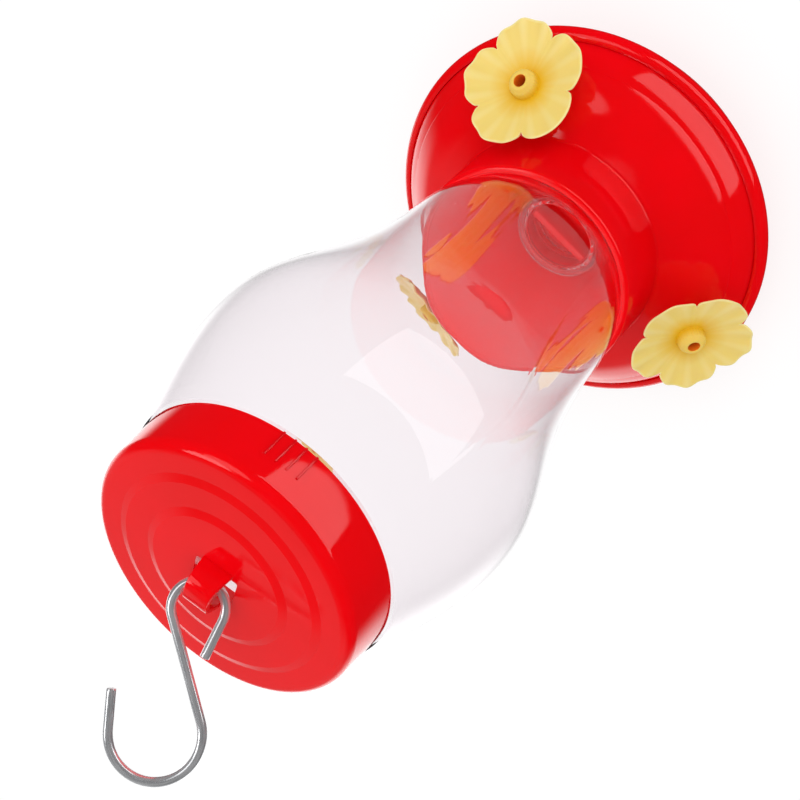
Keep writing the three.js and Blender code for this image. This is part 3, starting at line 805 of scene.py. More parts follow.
def seal_rubber(tree, finish):
    """Soft, see-through ring with a slow mottle."""
    rubber = finish.rubber
    skin = place_group(tree, "moulded_skin", swirl_size=0.006, grain_size=0.0006)
    mottle = ramp(tree, skin["Swirl"], 0.3, 0.7, 0.0, 1.0)
    darker = tuple(part * 0.9 for part in rubber)
    return {
        "Base Color": blend_colours(tree, mottle, rubber, darker),
        "Roughness": ramp(tree, skin["Swirl"], 0.3, 0.7, 0.08, 0.18),
        "Normal": bump(tree, skin["Grain"], 0.2, 0.00005),
        "Transmission Weight": 1.0,
        "IOR": 1.41,
    }


def zinc_steel(tree, finish):
    """Drawn, zinc-plated wire with darker streaks along it."""
    around = put(tree, "ShaderNodeVectorMath", {
        0: named_values(tree, "wire_round", "Vector"), "Scale": 1100.0,
    }, operation="SCALE")
    along = arithmetic(tree, "MULTIPLY", named_values(tree, "wire_along"), 90.0)
    lift = put(tree, "ShaderNodeCombineXYZ", {"Z": along})
    spot = put(tree, "ShaderNodeVectorMath", {0: around, 1: lift}, operation="ADD")
    noise = put(tree, "ShaderNodeTexNoise", {"Vector": spot, "Scale": 1.6, "Detail": 5.0})
    streak = ramp(tree, noise, 0.42, 0.66, 0.0, 0.5)
    return {
        "Base Color": blend_colours(tree, streak, finish.steel, finish.dark_steel),
        "Roughness": ramp(tree, noise, 0.35, 0.7, 0.10, 0.20),
        "Normal": bump(tree, noise, 0.15, 0.00005),
        "Metallic": 0.7,
    }


FINISHES = {
    made.__name__: made
    for made in (red_gloss, clear_blown, petal_yellow, seal_rubber, zinc_steel)
}


def finish_named(name):
    """The material of a name, made when it is first asked for."""
    material = bpy.data.materials.get(name)
    if material is None:
        material = bpy.data.materials.new(name)
        material.use_nodes = True
        tree = material.node_tree
        given = FINISHES[name](tree, settings().finish)
        fill(tree, tree.nodes["Principled BSDF"], given)
    return material


# Shared places

def rim():
    """Rim radius, rim top and the cover's seat height."""
    size = settings().dish
    top = size.bead_height + size.bead
    return size.radius - size.bead, top, top - size.seat_depth


def uphill(point, slope, reach):
    """A point up the slope that leads towards the axis."""
    return point[0] - reach * math.cos(slope), point[1] + reach * math.sin(slope)


def crease():
    """Where the cover's shoulder ends and its dome begins."""
    size = settings().cover
    _, rim_top, _ = rim()
    return size.edge - size.shoulder_width, rim_top + size.shoulder_rise


def dome_ends():
    """Control points of the cover's dome, from the crease to its crest."""
    size = settings().cover
    _, rim_top, _ = rim()
    foot = (crease()[0] - size.crease_back, crease()[1] + size.crease_rise)
    crest = (size.crest, rim_top + size.crest_rise)
    return (
        foot, uphill(foot, size.dome_slope, size.dome_pull),
        uphill(crest, size.crest_slope, -size.dome_pull), crest,
    )


def port_frame():
    """Place of the port on the +X side; +Z leaves the cover and +X runs downhill."""
    size = settings().cover
    steps = 1000
    foot = bezier(*dome_ends(), steps)[round(size.port_place * steps)]
    tilt = Matrix.Rotation(math.pi / 2 - size.port_lift, 4, "Y")
    return Matrix.Translation((foot[0], 0, foot[1])) @ tilt


def three_round(name, mesh, finish):
    """Copies of a mesh at the three ports."""
    mesh.transform(port_frame())
    return grow(
        "copies_round", name, mesh, finish, count=len(FLOWERS),
        spacing=-2 * math.pi / len(FLOWERS), start=settings().flower.first_turn,
    )


# Pieces

class DRINKER_OT_dish(Operator):
    """Turn the lower dish with its rolled rim and the blade that stands in the neck"""

    bl_idname = "drinker.dish"
    bl_label = "Dish"

    def execute(self, context):
        size, bottle = settings().dish, settings().bottle
        red = finish_named("red_gloss")
        rim_radius, rim_top, seat = rim()
        bead_low = size.bead_height - size.bead
        inner = rim_radius - size.wall

        def bowl(reach, drop, steps=14):
            points = []
            for i in range(steps + 1):
                angle = math.pi / 2 * i / steps
                points.append((
                    size.foot + reach * math.sin(angle), bead_low - drop * math.cos(angle),
                ))
            return points

        outside = bowl(rim_radius - size.foot, bead_low)
        inside = bowl(inner - size.foot, bead_low - size.floor)
        edge, lip_back, blade_bevel = 0.15 * MM, 0.2 * MM, 0.7 * MM
        lip = rim_radius - lip_back
        outline = [
            (0.0, 0.0), *outside,
            *arc(rim_radius, size.bead_height, size.bead, -84, 90, 16),
            *softened([
                (rim_radius, rim_top), (lip, rim_top, edge), (lip, seat, edge),
                (inner, seat, edge), (inner, bead_low),
            ])[1:-1],
            *reversed(inside), (0.0, size.floor),
        ]
        shell = settle(turned("dish_shell", outline, red, False, ROUND_SIDES))
        low = size.floor / 2
        high = bottle.mouth + bottle.neck_length + size.blade_proud
        reach = bottle.neck - bottle.neck_wall - size.blade_clearance
        span = 2 * math.sqrt(reach ** 2 - (size.blade_width / 2) ** 2)
        blade = box_mesh("dish_blade", (span, size.blade_width, high - low), blade_bevel)
        blade.transform(
            Matrix.Rotation(size.blade_turn, 4, "Z") @ Matrix.Translation((0, 0, (low + high) / 2))
        )
        mesh = settle(combine("UNION", "drinker_dish", shell, blade))
        finished_piece("drinker_dish", mesh, red, "dish", "red_plastic", "base_dish")
        return {"FINISHED"}


class DRINKER_OT_cover(Operator):
    """Turn the bell cover with its funnel, screw socket and three port bosses"""

    bl_idname = "drinker.cover"
    bl_label = "Cover"

    def execute(self, context):
        size, bottle = settings().cover, settings().bottle
        red = finish_named("red_gloss")
        _, rim_top, seat = rim()
        ledge_top = bottle.mouth + bottle.neck_length
        seal_seat = ledge_top - bottle.seal
        pocket = bottle.neck + bottle.ledge + bottle.gap
        mouth = bottle.collar + bottle.gap
        bore = bottle.neck + bottle.thread_height + THREAD_CLEARANCE
        edge, corner = (size.edge, seat), (size.edge, rim_top - size.edge_drop)
        soft, boss_soft = 0.4 * MM, 0.5 * MM
        pull, overrun = 2.5 * MM, 4 * MM
        shoulder = bezier(
            corner, uphill(corner, size.shoulder_slope, pull),
            uphill(crease(), size.shoulder_ease, -pull), crease(), 12,
        )
        dome = bezier(*dome_ends(), 24)
        collar = (mouth + size.lip, size.top - size.lip_round)
        collar_foot = (collar[0] + size.collar_draft, rim_top + size.collar_foot)
        bell = [
            *softened([edge, (*corner, size.shoulder_round), shoulder[1]]), *shoulder[2:-1],
            *softened([shoulder[-2], (*crease(), soft), (*dome[0], soft), dome[1]])[1:],
            *dome[2:], *softened([dome[-1], (*collar_foot, size.collar_round), collar], 10)[1:],
        ]
        groove = size.top - size.lip_depth
        inner = offset([edge, corner, crease(), *dome, collar_foot, collar], size.wall)[1:-1]
        slope = (mouth - pocket) / (size.top - ledge_top)
        across = size.wall * math.hypot(1, slope)
        socket_low = seal_seat - size.socket
        socket_outer = bore + size.wall
        branch = seal_seat - size.wall
        inside = softened([
            (collar[0], size.top - 2 * soft),
            (mouth, size.top - size.lip_round / 2, soft),
            (pocket, ledge_top, soft), (pocket, seal_seat, soft / 2), (bore, seal_seat, soft),
            (bore, socket_low, soft), (socket_outer, socket_low, soft),
            (socket_outer, branch, soft), (pocket + size.wall, branch),
            (pocket + across, ledge_top),
            (pocket + across + slope * (groove - ledge_top), groove, soft),
            (inner[-1][0], groove, soft), inner[-1],
        ])[1:-1]
        lip = arc(collar[0] - size.lip_round, collar[1], size.lip_round, 12, 90, 8)
        outline = [
            *bell, *lip, (mouth + size.lip_round / 2, size.top), *inside, *reversed(inner),
            (inner[0][0], seat),
        ]
        shell = settle(turned("cover_shell", outline, red, True, ROUND_SIDES))
        ridge = screw_ridge(
            "socket_thread", bore + THREAD_SINK, bottle.neck + THREAD_CLEARANCE,
            bottle.mouth + bottle.thread_start + bottle.thread_pitch / 2, red,
        )
        ring = softened([
            (0.0, -size.boss_sink), (size.boss, -size.boss_sink),
            (size.boss, size.boss_rise, boss_soft), (0.0, size.boss_rise),
        ])
        bosses = three_round("bosses", turned("boss", ring, red, False, SMALL_SIDES), red)
        hole = drum(
            "hole", settings().flower.stem + size.clearance, -size.boss_sink - overrun,
            size.boss_rise + overrun, red,
        )
        holes = three_round("holes", hole, red)
        mesh = combine("UNION", "drinker_cover", shell, ridge, settle(bosses))
        mesh = settle(combine("DIFFERENCE", "drinker_cover", mesh, settle(holes)))
        finished_piece("drinker_cover", mesh, red, "cover", "red_plastic", "base_cover")
        return {"FINISHED"}


class DRINKER_OT_seal(Operator):
    """Turn the soft ring under the bottle's ledge"""

    bl_idname = "drinker.seal"
    bl_label = "Seal"

    def execute(self, context):
        bottle = settings().bottle
        rubber = finish_named("seal_rubber")
        gap, play, edge = 0.3 * MM, 0.1 * MM, 0.45 * MM
        inner = bottle.neck + gap
        outer = bottle.neck + bottle.ledge + bottle.gap - gap
        high = bottle.mouth + bottle.neck_length - play
        low = high - bottle.seal + 2 * play
        middle = (inner + outer) / 2
        outline = softened([
            (middle, low), (outer, low, edge), (outer, high, edge), (inner, high, edge),
            (inner, low, edge), (middle, low),
        ])[:-1]
        mesh = settle(turned("drinker_seal", outline, rubber, True, SMALL_SIDES * 2))
        piece = finished_piece(
            "drinker_seal", mesh, rubber, "seal", "pale_rubber", "neck_seal",
        )
        piece.visible_shadow = piece.visible_diffuse = False
        return {"FINISHED"}


# How far each slope of the bottle's outline carries, from the collar up to the cap
FUNNEL_PULL, WAIST_PULL, SIDE_PULL = 4.5 * MM, 8 * MM, 45 * MM
BELLY_PULL, CROWN_PULL, EDGE_PULL = 16 * MM, 15 * MM, 14 * MM


def below(point, distance):
    return point[0], point[1] - distance


class DRINKER_OT_bottle(Operator):
    """Turn the clear bottle and wind the thread on its neck"""

    bl_idname = "drinker.bottle"
    bl_label = "Bottle"

    def execute(self, context):
        size, cap = settings().bottle, settings().cap
        clear = finish_named("clear_blown")
        top = settings().cover.top
        ledge_top = size.mouth + size.neck_length
        ledge = size.neck + size.ledge
        leave = Vector((size.collar, top))
        funnel = (leave - Vector((ledge, ledge_top))).normalized()
        waist = (size.waist, top + size.waist_rise)
        belly = (size.belly, top + size.belly_rise)
        cap_step, cap_gap = 0.7 * MM, 0.3 * MM
        edge = (cap.radius + cap_step, cap.edge - cap_gap)
        back = Vector((math.sin(size.edge_slope), -math.cos(size.edge_slope))) * EDGE_PULL
        body = [
            *bezier(leave, leave + funnel * FUNNEL_PULL, below(waist, WAIST_PULL), waist, 16),
            *bezier(waist, below(waist, -SIDE_PULL), below(belly, BELLY_PULL), belly, 36)[1:],
            *bezier(belly, below(belly, -CROWN_PULL), Vector(edge) + back, edge, 24)[1:],
        ]
        crown = cap.radius - cap.draft - cap.wall - cap_gap
        soft, ledge_soft = 0.5 * MM, 0.9 * MM
        bead, bead_half, bead_proud = cap.edge + 5 * MM, 1 * MM, 0.5 * MM
        neck = softened([
            (size.neck - 0.8 * MM, size.mouth), (size.neck, size.mouth, soft),
            (size.neck, ledge_top, soft), (ledge, ledge_top, ledge_soft), tuple(leave),
        ])[1:-1]
        closed_end = softened([
            body[-2], (*edge, soft / 2), (crown, edge[1], soft / 2), (crown, bead - bead_half),
            (crown + bead_proud, bead, soft), (crown, bead + bead_half),
            (crown, size.crown, size.crown_round), (0.0, size.crown),
        ])[1:]
        bore = size.neck - size.neck_wall
        wall_inside = offset(body, size.wall)[1:-2]
        crown_inside, crown_low = crown - size.wall, size.crown - size.wall
        inside = [
            *softened([
                (bore + 0.4 * MM, size.mouth), (bore, size.mouth, soft),
                (bore, ledge_top + size.wall, 0.7 * MM),
                (ledge - size.wall / 2, ledge_top + size.wall, ledge_soft), wall_inside[0],
            ])[1:],
            *wall_inside[1:],
            *softened([
                wall_inside[-1], (crown_inside, cap.edge),
                (crown_inside, crown_low, size.crown_round), (0.0, crown_low),
            ])[1:],
        ]
        outline = [*reversed(inside), *neck, *body[:-1], *closed_end]
        shell = settle(turned("bottle_shell", outline, clear, False, ROUND_SIDES))
        ridge = screw_ridge(
            "neck_thread", size.neck - THREAD_SINK, size.neck + size.thread_height,
            size.mouth + size.thread_start, clear,
        )
        mesh = settle(combine("UNION", "drinker_bottle", shell, ridge))
        piece = finished_piece(
            "drinker_bottle", mesh, clear, "bottle_and_cap", "clear_bottle", "bottle",
        )
        piece.visible_shadow = piece.visible_diffuse = False
        return {"FINISHED"}


class DRINKER_OT_cap(Operator):
    """Turn the hanging cap, with its strap eyelet, slot and grip ribs"""

    bl_idname = "drinker.cap"
    bl_label = "Cap"

    def execute(self, context):
        size = settings().cap
        red = finish_named("red_gloss")
        face = size.edge + size.height
        under = face - size.wall
        top = face + 2 * size.terrace_rise
        top_radius = size.radius - size.draft
        first = top_radius - size.fillet - size.rim_flat
        second = first - size.terrace_band - size.terrace_flat
        soft, inner_edge, outer_edge = 0.6 * MM, 0.3 * MM, 0.35 * MM
        outline = softened([
            (0.0, under), (top_radius - size.wall, under, soft),
            (size.radius - size.wall, size.edge, inner_edge), (size.radius, size.edge, outer_edge),
            (top_radius, face - size.fillet),
            *arc(top_radius - size.fillet, face - size.fillet, size.fillet, 0, 90, 12)[1:],
            (first, face, soft), (first - size.terrace_band, face + size.terrace_rise, soft),
            (second, face + size.terrace_rise, soft), (second - size.terrace_band, top, soft),
            (0.0, top),
        ])
        shell = settle(turned("cap_shell", outline, red, False, ROUND_SIDES))
        spin = Matrix.Rotation(size.strap_turn, 4, "Z")
        slot_depth = 4 * size.wall + top - under
        slot = box_mesh("strap_slot", (size.slot_length, size.slot_width, slot_depth), soft)
        slot.transform(spin @ Matrix.Translation((0, 0, (top + under) / 2)))
        strap = self.strap()
        strap.transform(spin @ Matrix.Translation((0, 0, top)))
        mesh = combine("DIFFERENCE", "drinker_cap", shell, slot)
        mesh = settle(combine("UNION", "drinker_cap", mesh, settle(strap)), math.radians(26))
        finished_piece("drinker_cap", mesh, red, "bottle_and_cap", "red_plastic", "top_cap")

        ribs = settle(self.grip_ribs(red))
        finished_piece("drinker_cap_grips", ribs, red, "bottle_and_cap", "red_plastic")
        return {"FINISHED"}

    def arch(self, half_span, rise, steps=24):
        power = 2 / settings().cap.arch_power
        points = []
        for i in range(steps + 1):
            angle = math.pi * i / steps
            across = math.copysign(abs(math.cos(angle)) ** power, math.cos(angle))
            points.append((half_span * across, rise * abs(math.sin(angle)) ** power))
        return points

    def strap(self):
        """An arched band that bridges the slot, narrower at its top."""
        size = settings().cap
        inside = size.slot_width / 2
        outside = inside + size.strap_thick
        rise = size.strap_clear + size.strap_thick
        outer, inner = self.arch(outside, rise), self.arch(inside, size.strap_clear)
        sink, bevel = -0.6 * MM, 0.35 * MM
        ring = [
            (outside, sink), *outer, (-outside, sink), (-inside, sink), *reversed(inner),
            (inside, sink),
        ]
        work = bmesh.new()
        sides = []
        for way in (-0.5, 0.5):
            row = []
            for y, z in ring:
                width = size.strap_foot + (size.strap_top - size.strap_foot) * max(z, 0) / rise
                row.append(work.verts.new((way * width, y, z)))
            sides.append(row)
        total = len(ring)
        half = total // 2
        for i in range(total):
            k = (i + 1) % total
            work.faces.new((sides[0][i], sides[0][k], sides[1][k], sides[1][i]))
        for row in sides:
            for i in range(half - 1):
                work.faces.new((row[i], row[i + 1], row[total - 2 - i], row[total - 1 - i]))
        bmesh.ops.recalc_face_normals(work, faces=work.faces)
        mesh = settle(worked_mesh("strap", work))
        return bevelled("strap", mesh, bevel, 3, math.radians(50))

    def grip_ribs(self, red):
        """Fine upright ribs in two groups on the skirt."""
        size = settings().cap
        sink, bevel = 0.8 * MM, 0.12 * MM
        depth = size.grip_proud + sink
        rib = box_mesh("rib", (depth, size.grip_width, size.grip_length), bevel)
        draft = math.atan2(size.draft, size.height - size.fillet)
        rib.transform(
            Matrix.Translation((size.radius, 0, size.edge))
            @ Matrix.Rotation(-draft, 4, "Y")
            @ Matrix.Translation((size.grip_proud - depth / 2, 0, size.grip_length / 2))
        )
        group = grow(
            "copies_round", "rib_group", rib, red, count=size.grip_ribs, spacing=size.grip_spacing,
            start=size.grip_turn - size.grip_spacing * (size.grip_ribs - 1) / 2,
        )
        return grow(
            "copies_round", "drinker_cap_grips", group, red, count=2, spacing=math.pi, start=0.0,
        )


class DRINKER_OT_hook(Operator):
    """Bend the steel S-hook"""

    bl_idname = "drinker.hook"
    bl_label = "Hook"

    def execute(self, context):
        size, cap = settings().hook, settings().cap
        steel = finish_named("zinc_steel")
        eye = Vector((0.0, size.eye))
        bend = Vector((size.offset, size.eye + size.span))
        between = bend - eye
        cross = math.asin((size.eye + size.bend) / between.length)
        shank = math.degrees(math.atan2(between.x, between.y) + cross)
        tip = 180 - math.degrees(size.flare)
        end_steps, shank_steps, eye_steps, bend_steps = 8, 12, 44, 60
        path = [
            (size.eye, size.eye + size.leg * (1 - i / end_steps)) for i in range(end_steps)
        ]
        path += arc(*eye, size.eye, 0, -(180 + shank), eye_steps)
        large_bend = arc(*bend, size.bend, -shank, tip, bend_steps)
        start, end = Vector(path[-1]), Vector(large_bend[0])
        path += [tuple(start.lerp(end, i / shank_steps)) for i in range(1, shank_steps)]
        path += large_bend
        last = Vector(path[-1])
        lead = Vector((-math.sin(math.radians(tip)), math.cos(math.radians(tip))))
        path += [
            tuple(last + lead * size.tip * i / end_steps) for i in range(1, end_steps + 1)
        ]
        mesh = path_mesh("hook_path", path)
        wire = grow("bent_wire", "hook_wire", mesh, steel, radius=size.wire, sides=24)
        end_bevel = 0.22 * MM
        wire = bevelled("drinker_hook", settle(wire), end_bevel, 2, math.radians(60))
        seat = cap.edge + cap.height + 2 * cap.terrace_rise + size.seat
        wire.transform(
            Matrix.Translation((0, 0, seat))
            @ Matrix.Rotation(cap.strap_turn, 4, "Z")
            @ Matrix.Rotation(size.tilt, 4, "Y")
            @ Matrix.Rotation(math.pi / 2 + size.lean, 4, "X")
        )
        finished_piece("drinker_hook", settle(wire), steel, "hook", "steel_wire", "s_hook")
        return {"FINISHED"}


class DRINKER_OT_flowers(Operator):
    """Mould the three feeding flowers, one petal repeated round each hub"""

    bl_idname = "drinker.flowers"
    bl_label = "Flowers"

    columns = 36  # across one petal
    rows = 16  # from hub to tip
    ripple = 0.25 * MM  # of a petal's edge
    hub_flute = 0.09 * MM  # height of the flutes round the hub
    bow = 0.2  # share of a petal's rise that steepens outwards
    flutes_from = 0.3  # share of the petal where its flutes begin
    thinning = 0.45  # share of the thickness that is lost at the tip

    def execute(self, context):
        size = settings().flower
        yellow = finish_named("petal_yellow")
        mould = grow(
            "copies_round", "flower", self.petal_slice(), yellow, count=size.petals,
            spacing=2 * math.pi / size.petals, start=0.0,
        )
        settle(mould, math.radians(48))
        for i, (node, body, twist) in enumerate(FLOWERS):
            around = size.first_turn - i * 2 * math.pi / len(FLOWERS)
            mesh = mould.copy()
            mesh.transform(
                Matrix.Rotation(around, 4, "Z") @ port_frame()
                @ Matrix.Rotation(math.radians(twist), 4, "Z")
            )
            finished_piece("drinker_" + node, mesh, yellow, body, "yellow_plastic", node)
        return {"FINISHED"}

    def petal_slice(self):
        """One petal with its share of hub, stem and plug, open at its two sides."""
        size, cover = settings().flower, settings().cover
        foot = cover.boss_rise + cover.clearance
        flange = foot + size.flange_thick
        under = flange + size.stem_length
        top = under + size.thick
        hub_top = top + size.hub_height
        flange_radius = size.stem + size.flange_proud
        soft = 0.3 * MM
        stem = softened([
            (size.bore, -size.plug + 2 * MM), (size.bore, -size.plug, soft),
            (size.stem, -size.plug, 2 * soft), (size.stem, foot), (flange_radius, foot, soft),
            (flange_radius, flange, soft), (size.stem, flange, soft), (size.stem, under, 2 * soft),
            (size.hub, under),
        ], 3)[:-1]
        middle = (3 * size.hub + size.hub_top) / 4
        hub = softened([
            (size.hub, top), (size.hub - 0.15 * MM, top + 0.3 * MM, soft),
            (middle, (top + 2 * hub_top) / 3, 1.5 * MM), (size.hub_top, hub_top, 0.7 * MM),
            (size.bore, hub_top, 0.35 * MM), (size.bore, hub_top - 4 * MM),
        ], 5)[1:]
        hub += [(size.bore, hub_top - 9 * MM)]
        fluted = (hub_top + top) / 2

        half = math.pi / size.petals
        shares = [(k + 1) / self.rows for k in range(self.rows)]
        points, rings = [], []
        # petal_share places the painted shade round the hub, the painted highlight on the edges
        # and the painted glow in the hole; petal_ridge places the painted highlight on the ridges
        marks = {"petal_share": [], "petal_ridge": []}

        def add_ring(place):
            ring = []
            for c in range(self.columns + 1):
                u = 2 * c / self.columns - 1
                radius, height, out, ridge = place(u)
                angle = half * u
                ring.append(len(points))
                points.append((radius * math.cos(angle), radius * math.sin(angle), height))
                marks["petal_share"].append(out)
                marks["petal_ridge"].append(ridge)
            rings.append(ring)

        def petal(out, lift):
            """A ring of the petal: lift 1 is its upper face and 0 its lower face."""
            def place(u):
                swell = math.sqrt(max(math.cos(math.pi / 2 * u), 0.0))
                wave = math.cos(3 * math.pi * u)
                reach = size.radius - size.notch * (1 - swell) + self.ripple * wave * swell
                radius = size.hub + (reach - size.hub) * out
                lifted = (1 - self.bow) * out + self.bow * out * out
                rise = lifted * (size.cup + size.crown * swell ** 2)
                fluted_share = max((out - self.flutes_from) / (1 - self.flutes_from), 0.0)
                flute = size.flute * wave * fluted_share ** 1.5
                thick = size.thick * (1 - self.thinning * out)
                return radius, under + rise + flute + thick * lift, out, wave * out
            return place

        for radius, height in stem:
            add_ring(lambda u, r=radius, h=height: (r, h, 0.3, 0.0))
        add_ring(petal(0.0, 0.0))
        for out in shares[:-1]:
            add_ring(petal(out, 0.0))
        for out, lift in ((0.985, 0.0), (1.0, 0.28), (1.0, 0.72), (0.985, 1.0)):
            add_ring(petal(out, lift))
        for out in reversed(shares[:-1]):
            add_ring(petal(out, 1.0))
        add_ring(petal(0.0, 1.0))
        for radius, height in hub:
            # bore rings get -0.5 for the painted glow inside the hole, and the hub's foot gets 0
            # for its painted shade
            if radius <= size.bore + 0.1 * MM:
                add_ring(lambda u, r=radius, h=height: (r, h, -0.5, 0.0))
                continue
            near = max(1 - abs(height - fluted) / (hub_top - fluted), 0.0)
            depth = self.hub_flute * near
            add_ring(lambda u, r=radius, h=height, d=depth: (
                r + d * math.cos(6 * math.pi * u), h, 0.0 if h < top + 1 * MM else 0.3, 0.0,
            ))

        faces = []
        for ring, following in zip(rings, rings[1:] + rings[:1]):
            for c in range(self.columns):
                faces.append((ring[c], ring[c + 1], following[c + 1], following[c]))
        mesh = bpy.data.meshes.new("petal_slice")
        mesh.from_pydata(points, [], faces)
        for name, values in marks.items():
            mesh.attributes.new(name, "FLOAT", "POINT").data.foreach_set("value", values)
        return mesh


# Stage

CAMERA_PLACE = (-0.194006, -0.185396, 0.394342)
CAMERA_TURN = Euler([math.radians(a) for a in (-36.966, 30.9036, 168.278)])
SENSOR_WIDTH = 36.0  # millimetres
NEAREST_SEEN = 0.01
CLEAR_BOUNCES = 24  # light bounces, enough for the clear walls round the neck
WHITE = (1.0, 1.0, 1.0, 1.0)
LAMPS = (  # setting, place, width and target of each lamp
    ("key", (-0.6, -1.15, 1.25), 0.9, (0.0, 0.0, 0.11)),
    ("glow", (0.0, 0.0, 0.0165), 0.08, (0.0, 0.0, 0.0)),
    ("funnel", (0.0, 0.0, 0.074), 0.05, (0.0, 0.0, 0.0)),
)
FLOOR_SIDES = 96
FLOOR_COLOUR = (0.26, 0.26, 0.26, 1.0)
FLOOR_SEEN = 0.77  # what the floor gives off in plain sight
FLOOR_BOUNCED = 0.56  # what it gives off to the even light
CARD_FOOT, CARD_HEAD = 0.155, 0.205  # half widths
CARD_LOW, CARD_HIGH, CARD_AWAY = 0.01, 0.16, 0.28
CARD_TURN = math.radians(-145)

# The mirrored room: directions, and the degrees between which each part fades
SOFTBOX, SOFTBOX_EDGE = (0.439, -0.369, 0.819), (10, 14)
SIDE_LIGHT, SIDE_EDGE = (0.168, -0.674, 0.719), (13, 17)
AHEAD_EDGE = (18, 32)
FAR_START, FAR_END = (-8, 12), (84, 112)
CEILING, BACKDROP_TOP, GROUND = (35, 50), (-8, 10), (-45, -28)
DIM_ROOM = 0.03  # what the rest of the room shows in reflections
CLEAR_SHARE = 0.08  # share of the room in reflections seen through clear walls


def bare_tree(owner):
    """The emptied node tree of a material or a world."""
    owner.use_nodes = True
    owner.node_tree.nodes.clear()
    return owner.node_tree


